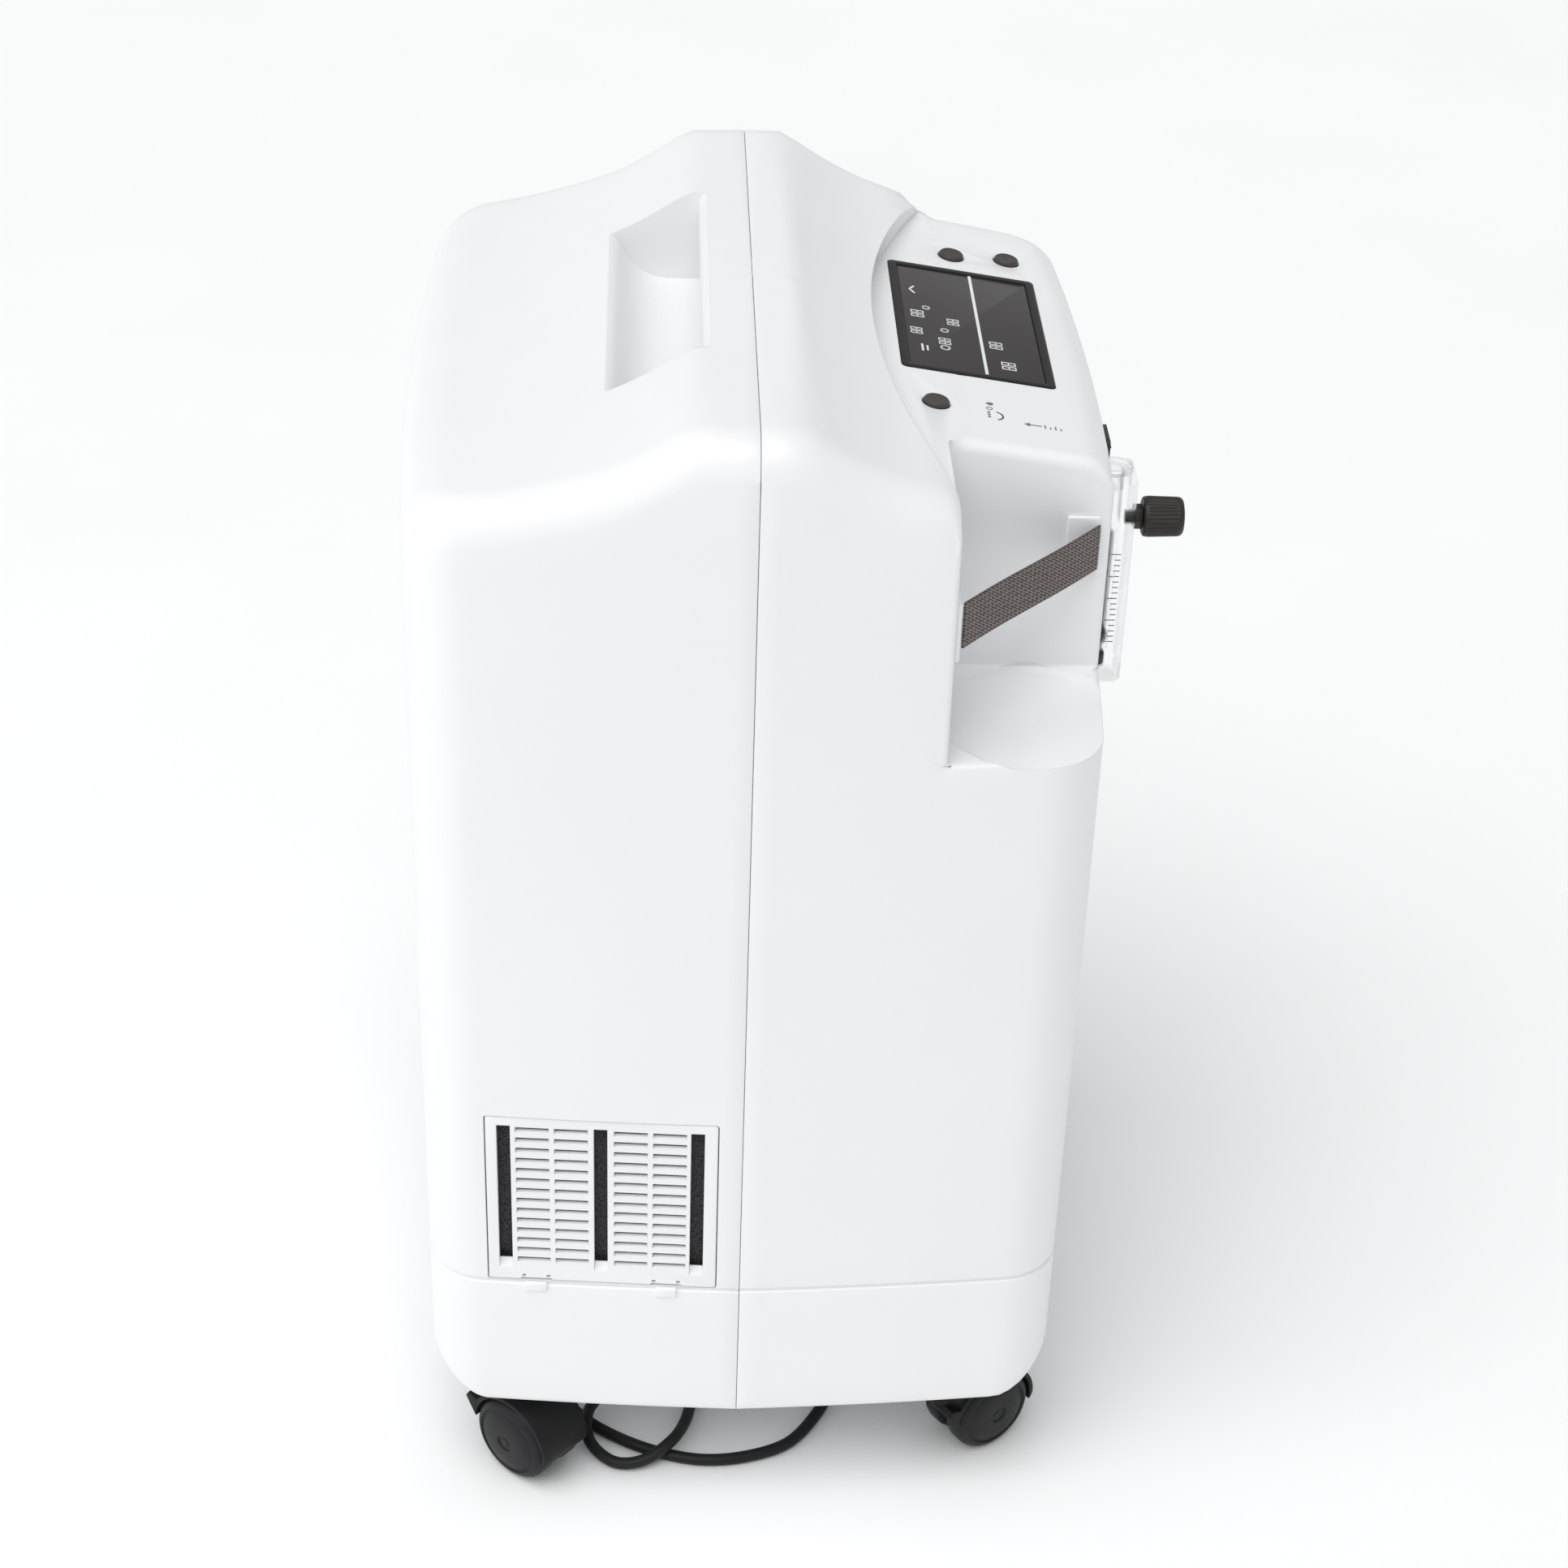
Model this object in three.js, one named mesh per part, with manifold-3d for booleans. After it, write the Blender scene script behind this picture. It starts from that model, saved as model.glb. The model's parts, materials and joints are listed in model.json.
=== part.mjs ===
// Stationary oxygen concentrator on four swivel casters. Millimetres, +Z up, front towards -Y.
// Everything is built about the parting seam between the two cabinet shells (y = 0) with the
// floor at z = 0, and the finished machine is then moved so that its outline is centred.

import * as THREE from 'three';
import { mergeVertices } from 'three/addons/utils/BufferGeometryUtils.js';
import Module from 'manifold-3d';

const wasm = await Module();
wasm.setup();

// ---------------------------------------------------------------- driving dimensions
const GAP = 0.3; // clearance between pieces that touch
const WALL = 3; // thickness of the moulded shells

const HALF_WIDTH = 190; // of the cabinet, at the parting seam
const CORNER_HALF_WIDTH = 181; // where the vertical corners begin
const FRONT_DEPTH = 176; // seam to the middle of the front face
const REAR_DEPTH = 170; // seam to the middle of the rear face
const FACE_BOW = 6; // how far the front and rear faces bow out
const CORNER_RADIUS = 32; // vertical corners, in plan
const BASE_Z = 64; // underside of the cabinet
const LOWER_CORNER_RADIUS = 30; // front and rear lower edges, seen from the side
const HANDLE_Z = 650; // top of the handle bar
const HANDLE_FRONT_Y = -18;
const HANDLE_REAR_Y = 27;
const SHOULDER_RADIUS = 20; // long top edges
const SEAM_HALF_GAP = 0.25;

const CONSOLE_SLOPE = 0.16; // fall of the console per millimetre towards the front
const CONSOLE_REF_Y = -100;
const CONSOLE_REF_Z = 603.5;
const consoleZ = (y) => CONSOLE_REF_Z + CONSOLE_SLOPE * (y - CONSOLE_REF_Y);
const CONSOLE_TILT = Math.atan(CONSOLE_SLOPE);

const GROOVE_Z = 152.5; // shadow line round the foot of the cabinet
const GROOVE_HEIGHT = 2.4;
const GROOVE_DEPTH = 1.2;

const NOTCH_X = -93; // inner wall of the humidifier bay
const NOTCH_Y = -92; // rear wall of the humidifier bay
const SHELF_Z = 479; // floor of the humidifier bay
const SEAT_CENTRE = [-140, -137];
const SEAT_RADIUS = 46.5;
const SEAT_DEPTH = 3;

const GRIP_HALF_WIDTH = 90; // hand-hold pocket behind and under the handle bar
const GRIP_FRONT_Y = 9;
const GRIP_REAR_Y = 62;
const GRIP_FLOOR_Z = 602;
const GRIP_ROOF_Z = 634;

const SCREEN_CENTRE = [42, -113];
const SCREEN_SIZE = [125, 78];
const BUTTON_RADIUS = 6.4;
const BUTTON_PLACES = [
  ['start_button', -55, -89],
  ['timer_button', 122.5, -109.5],
  ['mode_button', 127, -139.5],
];

const FLOWMETER_X = -70;
const FLOWMETER_SIZE = [28, 22, 113];
const FLOWMETER_FRONT_Y = -187;
const FLOWMETER_FOOT_Z = 464;
const KNOB_Z = 551.6;
const KNOB_RADIUS = 10.2;
const KNOB_LENGTH = 20;
const KNOB_TIP_Y = -212;

const SWITCH_CENTRE = [-30, 569];
const SWITCH_SIZE = [21, 15];
const OUTLET_CENTRE = [40, 540];

const STRAP_Z = 549;
const STRAP_WIDTH = 25;
const STRAP_THICKNESS = 1.6;

const GRILLE_SIZE = [119, 109, WALL];
const GRILLE_CENTRE_Y = 72;
const GRILLE_CENTRE_Z = 209;
const GRILLE_X = -185.4; // outer face of the filter cover at its middle
const GRILLE_YAW = (4 * Math.PI) / 180;

const WHEEL_RADIUS = 25;
const WHEEL_WIDTH = 15;
const WHEEL_TRAIL = 18; // wheel axle behind the swivel axis
// name, stem x, stem y, direction in degrees in which the wheels trail
const CASTERS = [
  ['rear_left', -146, 126, 227],
  ['front_left', -146, -122, 305],
  ['rear_right', 146, 126, 250],
  ['front_right', 146, -122, 215],
];

const CORD_DIAMETER = 6.6;
const CORD_RADIUS = CORD_DIAMETER / 2;
const COIL_CENTRE = [66, 30];
const COIL_MID_RADIUS = 37;
const COIL_BUNDLE = 2 * CORD_DIAMETER + 0.6;

// ---------------------------------------------------------------- colours and materials
const finish = (color, roughness, metalness = 0) =>
  new THREE.MeshStandardMaterial({ color, roughness, metalness });

const CABINET_WHITE = finish(0xf4f5f6, 0.35);
const CONSOLE_BLACK = finish(0x141416, 0.25);
const SCREEN_GREY = finish(0x3c3d41, 0.12);
const BUTTON_GREY = finish(0x55585c, 0.45);
const SOFT_BLACK = finish(0x1e1f21, 0.55);
const TYRE_BLACK = finish(0x2a2b2d, 0.6);
const STRAP_BROWN = finish(0x453f3d, 0.9);
const ACRYLIC = finish(0xeaf2f4, 0.08);
const STEEL = finish(0xb8bbbf, 0.3, 1);
const ALUMINIUM = finish(0xc4c7ca, 0.4, 1);
const BRASS = finish(0xb89a55, 0.35, 1);
const COPPER = finish(0xb06a3c, 0.35, 1);
const FOAM_GREY = finish(0x4b4d50, 0.95);
const BOARD_GREEN = finish(0x1f5a3a, 0.5);
const TUBE_CLEAR = finish(0xd8e2e6, 0.2);
const FAN_BLACK = finish(0x232427, 0.5);

// ---------------------------------------------------------------- solids and booleans
function toSolid(geometry) {
  const bare = geometry.clone();
  bare.deleteAttribute('normal');
  if (bare.getAttribute('uv')) bare.deleteAttribute('uv');
  const merged = mergeVertices(bare, 1e-4);
  const index = merged.getIndex();
  return new wasm.Manifold(
    new wasm.Mesh({
      numProp: 3,
      vertProperties: new Float32Array(merged.getAttribute('position').array),
      triVerts: new Uint32Array(index.array),
    }),
  );
}

const SHORTEST_EDGE = 0.04;
function toGeometry(solid) {
  const mesh = solid.simplify(SHORTEST_EDGE).getMesh();
  const geometry = new THREE.BufferGeometry();
  geometry.setAttribute('position', new THREE.BufferAttribute(mesh.vertProperties, 3));
  geometry.setIndex(new THREE.BufferAttribute(mesh.triVerts, 1));
  geometry.computeVertexNormals();
  return geometry;
}

const cut = (body, ...tools) => tools.reduce((rest, tool) => rest.subtract(tool), body);
const join = (body, ...others) => others.reduce((whole, other) => whole.add(other), body);

function boxBetween(low, high) {
  const geometry = new THREE.BoxGeometry(high[0] - low[0], high[1] - low[1], high[2] - low[2]);
  geometry.translate((low[0] + high[0]) / 2, (low[1] + high[1]) / 2, (low[2] + high[2]) / 2);
  return geometry;
}

// A shape drawn in x and y, raised from z = low to z = high.
function prism(shape, low, high, curveSegments = 6) {
  const geometry = new THREE.ExtrudeGeometry(shape, {
    depth: high - low,
    bevelEnabled: false,
    curveSegments,
  });
  geometry.translate(0, 0, low);
  return geometry;
}

// A shape drawn in y and z, swept from x = low to x = high.
function sideExtrusion(shape, low, high, curveSegments = 6) {
  const geometry = prism(shape, low, high, curveSegments);
  geometry.applyMatrix4(new THREE.Matrix4().set(0, 0, 1, 0, 1, 0, 0, 0, 0, 1, 0, 0, 0, 0, 0, 1));
  return geometry;
}

function roundedRectangle(width, height, radius, x = 0, y = 0) {
  const [w, h] = [width / 2, height / 2];
  const shape = new THREE.Shape();
  shape.absarc(x + w - radius, y + h - radius, radius, 0, Math.PI / 2);
  shape.absarc(x - w + radius, y + h - radius, radius, Math.PI / 2, Math.PI);
  shape.absarc(x - w + radius, y - h + radius, radius, Math.PI, 1.5 * Math.PI);
  shape.absarc(x + w - radius, y - h + radius, radius, 1.5 * Math.PI, 2 * Math.PI);
  return shape;
}

// A round bar along z from low to high, centred on x, y.
function bar(radius, low, high, x = 0, y = 0, segments = 20) {
  const geometry = new THREE.CylinderGeometry(radius, radius, high - low, segments);
  geometry.rotateX(Math.PI / 2);
  geometry.translate(x, y, (low + high) / 2);
  return geometry;
}

// A profile of [radius, z] points turned about the z axis.
function turned(profile, segments = 24) {
  const points = profile.map(([r, z]) => new THREE.Vector2(r, z));
  const geometry = new THREE.LatheGeometry(points, segments);
  geometry.rotateX(Math.PI / 2);
  return geometry;
}

// A round tube or rod that follows points.
function rodAlong(points, radius, steps, sides = 8) {
  const path = new THREE.CatmullRomCurve3(points.map((p) => new THREE.Vector3(...p)));
  const section = new THREE.Shape();
  for (let i = 0; i < sides; i += 1) {
    const angle = (2 * Math.PI * i) / sides;
    const [x, y] = [radius * Math.cos(angle), radius * Math.sin(angle)];
    if (i === 0) section.moveTo(x, y);
    else section.lineTo(x, y);
  }
  section.closePath();
  return new THREE.ExtrudeGeometry(section, { steps, extrudePath: path, bevelEnabled: false });
}

const machine = new THREE.Group();

function addPart(name, geometry, material, parent = machine) {
  const solidGeometry = geometry.isBufferGeometry ? geometry : toGeometry(geometry);
  const mesh = new THREE.Mesh(solidGeometry, material);
  mesh.name = name;
  parent.add(mesh);
  return mesh;
}

// ---------------------------------------------------------------- cabinet outline
// One quarter of the plan outline, from the seam round the corner to the middle of a face.
function quarterOutline(depth, inset) {
  const radius = CORNER_RADIUS - inset;
  const startAngle = 0.105;
  const endAngle = Math.PI / 2 - 0.08;
  const arcCentreY = depth - inset - FACE_BOW - radius * Math.sin(endAngle);
  const arcCentreX = CORNER_HALF_WIDTH - inset - radius * Math.cos(startAngle);
  const sideEndY = arcCentreY + radius * Math.sin(startAngle);
  const points = [];
  const sideSteps = 4;
  for (let i = 0; i < sideSteps; i += 1) {
    const t = i / sideSteps;
    const taper = (HALF_WIDTH - CORNER_HALF_WIDTH) * (0.55 * t + 0.45 * t * t);
    points.push([HALF_WIDTH - inset - taper, sideEndY * t]);
  }
  const arcSteps = 6;
  for (let i = 0; i <= arcSteps; i += 1) {
    const angle = startAngle + ((endAngle - startAngle) * i) / arcSteps;
    points.push([arcCentreX + radius * Math.cos(angle), arcCentreY + radius * Math.sin(angle)]);
  }
  const faceEndX = arcCentreX + radius * Math.cos(endAngle);
  for (const share of [0.64, 0.31, 0]) {
    points.push([faceEndX * share, depth - inset - FACE_BOW * share * share]);
  }
  return points;
}

function planShape(inset) {
  const rear = quarterOutline(REAR_DEPTH, inset);
  const front = quarterOutline(FRONT_DEPTH, inset);
  const outline = [
    ...rear,
    ...rear.slice(0, -1).reverse().map(([x, y]) => [-x, y]),
    ...front.slice(1).map(([x, y]) => [-x, -y]),
    ...front.slice(1, -1).reverse().map(([x, y]) => [x, -y]),
  ];
  return new THREE.Shape(outline.map(([x, y]) => new THREE.Vector2(x, y)));
}

// Height of the cabinet's top along its depth: rear scoop, handle bar, front slope, console.
const TOP_PROFILE = [
  [REAR_DEPTH + 4, 560],
  [REAR_DEPTH, 586],
  [167, 597],
  [160, 605],
  [148, 609],
  [120, 613],
  [94, 619],
  [68, 627.5],
  [50, 637],
  [34, 647],
  [HANDLE_REAR_Y, HANDLE_Z],
  [0, HANDLE_Z],
  [HANDLE_FRONT_Y, HANDLE_Z],
  [-32, 642],
  [-48, 632.5],
  [-66, 624],
  [-82, 619],
  [-90, 617],
  [-95, consoleZ(-95) + 2],
  [-158, consoleZ(-158) + 2],
  [-166, 591.2],
  [-170, 587.5],
  [-174.5, 580],
  [-FRONT_DEPTH, 572],
  [-FRONT_DEPTH - 4, 560],
];

function sideHalfWidth(y) {
  const depth = y > 0 ? REAR_DEPTH : FRONT_DEPTH;
  const t = Math.min(Math.abs(y) / (depth - FACE_BOW - CORNER_RADIUS), 1.25);
  return HALF_WIDTH - (HALF_WIDTH - CORNER_HALF_WIDTH) * (0.55 * t + 0.45 * t * t);
}

// A closed loft through the profile, with rounded long edges at the top.
function crownedBlock(inset) {
  const radius = SHOULDER_RADIUS - inset;
  const arcSteps = 5;
  const rings = TOP_PROFILE.map(([y, z]) => {
    const w = sideHalfWidth(y) - inset;
    const top = z - inset;
    const ring = [[w, y, BASE_Z - 20]];
    for (let i = 0; i <= arcSteps; i += 1) {
      const angle = (Math.PI / 2) * (i / arcSteps);
      ring.push([w - radius + radius * Math.cos(angle), y, top - radius + radius * Math.sin(angle)]);
    }
    return [...ring, ...ring.slice().reverse().map(([x, yy, zz]) => [-x, yy, zz])];
  });
  const count = rings[0].length;
  const triangles = [];
  for (let r = 0; r < rings.length - 1; r += 1) {
    for (let i = 0; i < count; i += 1) {
      const [a, b] = [r * count + i, r * count + ((i + 1) % count)];
      triangles.push(a, b, a + count, b, b + count, a + count);
    }
  }
  const last = (rings.length - 1) * count;
  for (let i = 1; i < count - 1; i += 1) {
    triangles.push(0, i + 1, i);
    triangles.push(last, last + i, last + i + 1);
  }
  const geometry = new THREE.BufferGeometry();
  const positions = new Float32Array(rings.flat(2));
  geometry.setAttribute('position', new THREE.BufferAttribute(positions, 3));
  geometry.setIndex(triangles);
  geometry.computeVertexNormals();
  return geometry;
}

// Outline seen from the side, which rounds the front and rear lower edges.
function footProfile(inset) {
  const radius = LOWER_CORNER_RADIUS - inset;
  const [rear, front] = [REAR_DEPTH - inset, -FRONT_DEPTH + inset];
  const low = BASE_Z + inset;
  const shape = new THREE.Shape();
  shape.moveTo(front - 4, HANDLE_Z + 20);
  shape.lineTo(front, low + radius);
  shape.absarc(front + radius, low + radius, radius, Math.PI, 1.5 * Math.PI);
  shape.absarc(rear - radius, low + radius, radius, 1.5 * Math.PI, 2 * Math.PI);
  shape.lineTo(rear + 4, HANDLE_Z + 20);
  return shape;
}

function cabinetBlock(inset) {
  const prismatic = toSolid(prism(planShape(inset), BASE_Z + inset, HANDLE_Z + 20));
  const crowned = toSolid(crownedBlock(inset));
  const footed = toSolid(sideExtrusion(footProfile(inset), -HALF_WIDTH - 10, HALF_WIDTH + 10, 7));
  return prismatic.intersect(crowned).intersect(footed);
}

// ---------------------------------------------------------------- hollows in the cabinet
function notchTool(grow) {
  const low = [-HALF_WIDTH - 30, -FRONT_DEPTH - 30, SHELF_Z - grow];
  return toSolid(boxBetween(low, [NOTCH_X + grow, NOTCH_Y + grow, HANDLE_Z + 40]));
}

function gripShape(grow) {
  const shape = new THREE.Shape();
  shape.moveTo(GRIP_REAR_Y + 14 + grow, GRIP_ROOF_Z + 40);
  shape.lineTo(GRIP_REAR_Y + grow, 618);
  shape.quadraticCurveTo(
    GRIP_REAR_Y - 8 + grow, GRIP_FLOOR_Z - grow, GRIP_REAR_Y - 24, GRIP_FLOOR_Z - grow,
  );
  shape.lineTo(GRIP_FRONT_Y + 8, GRIP_FLOOR_Z - grow);
  shape.quadraticCurveTo(
    GRIP_FRONT_Y - grow, GRIP_FLOOR_Z - grow, GRIP_FRONT_Y - grow, GRIP_FLOOR_Z + 12,
  );
  shape.lineTo(GRIP_FRONT_Y - grow, GRIP_ROOF_Z - 6);
  shape.quadraticCurveTo(
    GRIP_FRONT_Y - grow, GRIP_ROOF_Z + grow, GRIP_FRONT_Y + 8, GRIP_ROOF_Z + grow,
  );
  shape.lineTo(HANDLE_REAR_Y - 3 + grow / 2, GRIP_ROOF_Z + grow);
  shape.lineTo(HANDLE_REAR_Y + 3 + grow / 2, GRIP_ROOF_Z + 40);
  return shape;
}

const gripTool = (grow) =>
  toSolid(sideExtrusion(gripShape(grow), -GRIP_HALF_WIDTH - grow, GRIP_HALF_WIDTH + grow, 4));

// Lowers the console panel, whose rear edge is an arc across the front slope.
function consoleTool(grow) {
  const shape = new THREE.Shape();
  const steps = 11;
  const reach = 186;
  for (let i = 0; i <= steps; i += 1) {
    const x = -reach + (2 * reach * i) / steps;
    const y = -57 - 37 * (x / 172) ** 2;
    if (i === 0) shape.moveTo(x, y - CONSOLE_REF_Y);
    else shape.lineTo(x, y - CONSOLE_REF_Y);
  }
  shape.lineTo(reach, -90);
  shape.lineTo(-reach, -90);
  const geometry = prism(shape, -grow, 60);
  geometry.rotateX(CONSOLE_TILT);
  geometry.translate(0, CONSOLE_REF_Y, CONSOLE_REF_Z);
  return toSolid(geometry);
}

// Places a piece that is modelled flat, with z = 0 on the console surface.
function ontoConsole(geometry, x, y) {
  geometry.rotateX(CONSOLE_TILT);
  geometry.translate(x, y, consoleZ(y));
  return geometry;
}

function flowmeterPocket(grow) {
  const [w, , h] = FLOWMETER_SIZE;
  const clearance = 0.6 + grow;
  const rearY = FLOWMETER_FRONT_Y + FLOWMETER_SIZE[1] + GAP + grow;
  const low = [FLOWMETER_X - w / 2 - clearance, -FRONT_DEPTH - 30, FLOWMETER_FOOT_Z - clearance];
  const high = [FLOWMETER_X + w / 2 + clearance, rearY, FLOWMETER_FOOT_Z + h + clearance + 3.4];
  return toSolid(boxBetween(low, high));
}

const OUTLET_WELL_RADIUS = 14;
const OUTLET_WELL_DEPTH = 24;
const frontFaceY = (x) => -FRONT_DEPTH + FACE_BOW * (x / 148) ** 2;

function outletWell(grow) {
  const geometry = new THREE.CylinderGeometry(
    OUTLET_WELL_RADIUS + grow, OUTLET_WELL_RADIUS + grow, OUTLET_WELL_DEPTH + 20 + grow, 20,
  );
  const innerY = frontFaceY(OUTLET_CENTRE[0]) + OUTLET_WELL_DEPTH + grow;
  geometry.translate(OUTLET_CENTRE[0], innerY - (OUTLET_WELL_DEPTH + 20 + grow) / 2, OUTLET_CENTRE[1]);
  return toSolid(geometry);
}

// ---------------------------------------------------------------- cut-outs for fitted pieces
function screenOpening() {
  const shape = roundedRectangle(SCREEN_SIZE[0] + 0.6, SCREEN_SIZE[1] + 0.6, 3);
  return toSolid(ontoConsole(prism(shape, -20, 20, 3), ...SCREEN_CENTRE));
}

const buttonOpenings = () =>
  BUTTON_PLACES.map(([, x, y]) => toSolid(ontoConsole(bar(BUTTON_RADIUS + 0.5, -20, 20), x, y)));

function switchOpening() {
  const [w, h] = SWITCH_SIZE.map((side) => side / 2 - 1);
  const [x, z] = SWITCH_CENTRE;
  return toSolid(boxBetween([x - w, -FRONT_DEPTH - 20, z - h], [x + w, -FRONT_DEPTH + 20, z + h]));
}

// A transform from the filter cover's own frame (x outwards, y along, z up) to the cabinet.
function ontoCoverSeat(geometry) {
  geometry.rotateZ(Math.PI - GRILLE_YAW);
  geometry.translate(GRILLE_X, GRILLE_CENTRE_Y, GRILLE_CENTRE_Z);
  return geometry;
}

function coverOpening() {
  const [w, h] = [GRILLE_SIZE[0] / 2 + 0.5, GRILLE_SIZE[1] / 2 + 0.5];
  return toSolid(ontoCoverSeat(boxBetween([-14, -w, -h], [14, w, h])));
}

function grooveRing() {
  const [low, high] = [GROOVE_Z - GROOVE_HEIGHT / 2, GROOVE_Z + GROOVE_HEIGHT / 2];
  const outer = toSolid(prism(planShape(-6), low, high));
  return outer.subtract(toSolid(prism(planShape(GROOVE_DEPTH), low - 1, high + 1)));
}

const TRAY_HALF_WIDTH = 170;
const TRAY_FRONT_Y = -141;
const TRAY_REAR_Y = 137;
const TRAY_THICKNESS = 4;

function trayShape(grow) {
  const width = 2 * (TRAY_HALF_WIDTH + grow);
  const depth = TRAY_REAR_Y - TRAY_FRONT_Y + 2 * grow;
  return roundedRectangle(width, depth, 20 + grow, 0, (TRAY_REAR_Y + TRAY_FRONT_Y) / 2);
}

const SCREW_PLACES = [
  ['rear_screw_upper_left', -120, 540],
  ['rear_screw_upper_right', 120, 540],
  ['rear_screw_lower_left', -120, 200],
  ['rear_screw_lower_right', 120, 200],
];
const SCREW_HEAD_RADIUS = 4.5;
const rearFaceY = (x) => REAR_DEPTH - FACE_BOW * (x / 148) ** 2;

function screwWell(x, z, radius, depth) {
  const geometry = new THREE.CylinderGeometry(radius, radius, depth + 20, 16);
  geometry.translate(x, rearFaceY(x) - depth + (depth + 20) / 2, z);
  return toSolid(geometry);
}

// ---------------------------------------------------------------- shells and tray
const outer = cut(
  cabinetBlock(0),
  notchTool(0),
  gripTool(0),
  consoleTool(0),
  flowmeterPocket(0),
  outletWell(0),
  grooveRing(),
  ...SCREW_PLACES.map(([, x, z]) => screwWell(x, z, SCREW_HEAD_RADIUS + 0.5, 2.4)),
);
const seat = toSolid(
  bar(SEAT_RADIUS, SHELF_Z - SEAT_DEPTH, SHELF_Z + 5, ...SEAT_CENTRE, 40),
);
const cavity = cut(
  cabinetBlock(WALL),
  notchTool(WALL + SEAT_DEPTH),
  gripTool(WALL),
  consoleTool(WALL),
  flowmeterPocket(WALL),
  outletWell(WALL),
  ...SCREW_PLACES.map(([, x, z]) => screwWell(x, z, SCREW_HEAD_RADIUS + 4, 6)),
);
const trayOpening = toSolid(prism(trayShape(GAP), BASE_Z - 10, BASE_Z + 10));
const cabinet = cut(
  outer,
  seat,
  cavity,
  trayOpening,
  screenOpening(),
  ...buttonOpenings(),
  switchOpening(),
  coverOpening(),
  ...SCREW_PLACES.map(([, x, z]) => screwWell(x, z, 2.2, 12)),
);

const FAR = 400;
const frontHalf = toSolid(boxBetween([-FAR, -FAR, 0], [FAR, -SEAM_HALF_GAP, 2 * FAR]));
const rearHalf = toSolid(boxBetween([-FAR, SEAM_HALF_GAP, 0], [FAR, FAR, 2 * FAR]));
addPart('front_shell', cabinet.intersect(frontHalf), CABINET_WHITE);
addPart('rear_shell', cabinet.intersect(rearHalf), CABINET_WHITE);

const STEM_RADIUS = 5.5;
const GLAND_X = 118;
const GLAND_Y = -58;
const EXHAUST_SLOTS = 6;

function baseTray() {
  const plate = toSolid(prism(trayShape(0), BASE_Z, BASE_Z + TRAY_THICKNESS));
  const stems = CASTERS.map(([, x, y]) => toSolid(bar(STEM_RADIUS + 0.5, BASE_Z - 5, BASE_Z + 40, x, y, 14)));
  const bosses = CASTERS.map(([, x, y]) => toSolid(bar(11, BASE_Z + 2, BASE_Z + 20, x, y, 14)));
  const slots = [];
  for (let i = 0; i < EXHAUST_SLOTS; i += 1) {
    const y = -62 + i * 12;
    slots.push(toSolid(boxBetween([-110, y, BASE_Z - 5], [-40, y + 6, BASE_Z + 10])));
  }
  return cut(join(plate, ...bosses), ...stems, ...slots);
}
addPart('base_tray', baseTray(), CABINET_WHITE);

// ---------------------------------------------------------------- console
const BEZEL_HEIGHT = 5;
function screenBezel() {
  const frame = toSolid(prism(roundedRectangle(...SCREEN_SIZE, 2.5), -BEZEL_HEIGHT, 0.4, 3));
  const window = toSolid(
    prism(roundedRectangle(SCREEN_SIZE[0] - 9, SCREEN_SIZE[1] - 9, 1.5), -2.4, 5, 3),
  );
  return ontoConsole(toGeometry(frame.subtract(window)), ...SCREEN_CENTRE);
}
addPart('screen_bezel', screenBezel(), CONSOLE_BLACK);

const glassShape = roundedRectangle(SCREEN_SIZE[0] - 9.6, SCREEN_SIZE[1] - 9.6, 1.2);
addPart(
  'display_panel',
  ontoConsole(prism(glassShape, -2.1, 0, 3), ...SCREEN_CENTRE),
  SCREEN_GREY,
);

const BUTTON_TRAVEL = 1;
for (const [name, x, y] of BUTTON_PLACES) {
  const cap = turned(
    [[0, -6], [BUTTON_RADIUS, -6], [BUTTON_RADIUS, 1], [BUTTON_RADIUS - 1, 1.8], [0, 2]],
    24,
  );
  addPart(name, ontoConsole(cap, x, y), BUTTON_GREY);
}

// ---------------------------------------------------------------- power switch
// Bezel and rocker are drawn in x and z and face -y.
function facingFront(geometry, x, faceY, z) {
  geometry.rotateX(Math.PI / 2);
  geometry.translate(x, faceY, z);
  return geometry;
}

const switchFaceY = frontFaceY(SWITCH_CENTRE[0]) - GAP - 0.2;
function switchBezel() {
  const flange = toSolid(prism(roundedRectangle(...SWITCH_SIZE, 1.5), 0, 1.8, 2));
  const [w, h] = SWITCH_SIZE;
  const body = toSolid(prism(roundedRectangle(w - 3, h - 3, 1), -12, 0.5, 2));
  const opening = toSolid(prism(roundedRectangle(w - 6, h - 5.4, 0.6), -9, 5, 2));
  return toGeometry(cut(join(flange, body), opening));
}
addPart(
  'power_switch_bezel',
  facingFront(switchBezel(), SWITCH_CENTRE[0], switchFaceY, SWITCH_CENTRE[1]),
  SOFT_BLACK,
);

const ROCKER_PIVOT_DEPTH = 3;
function rocker() {
  const shape = new THREE.Shape();
  shape.moveTo(-3.6, 3.2);
  shape.lineTo(0, 4);
  shape.lineTo(2.9, 6);
  shape.lineTo(3.9, 2);
  shape.lineTo(0, -3);
  shape.lineTo(-3.9, 1);
  shape.closePath();
  const width = SWITCH_SIZE[0] - 7;
  const geometry = prism(shape, -width / 2, width / 2);
  geometry.applyMatrix4(new THREE.Matrix4().set(0, 0, 1, 0, 0, -1, 0, 0, 1, 0, 0, 0, 0, 0, 0, 1));
  geometry.translate(SWITCH_CENTRE[0], switchFaceY + ROCKER_PIVOT_DEPTH, SWITCH_CENTRE[1]);
  return geometry;
}
addPart('power_switch_rocker', rocker(), SOFT_BLACK);

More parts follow.
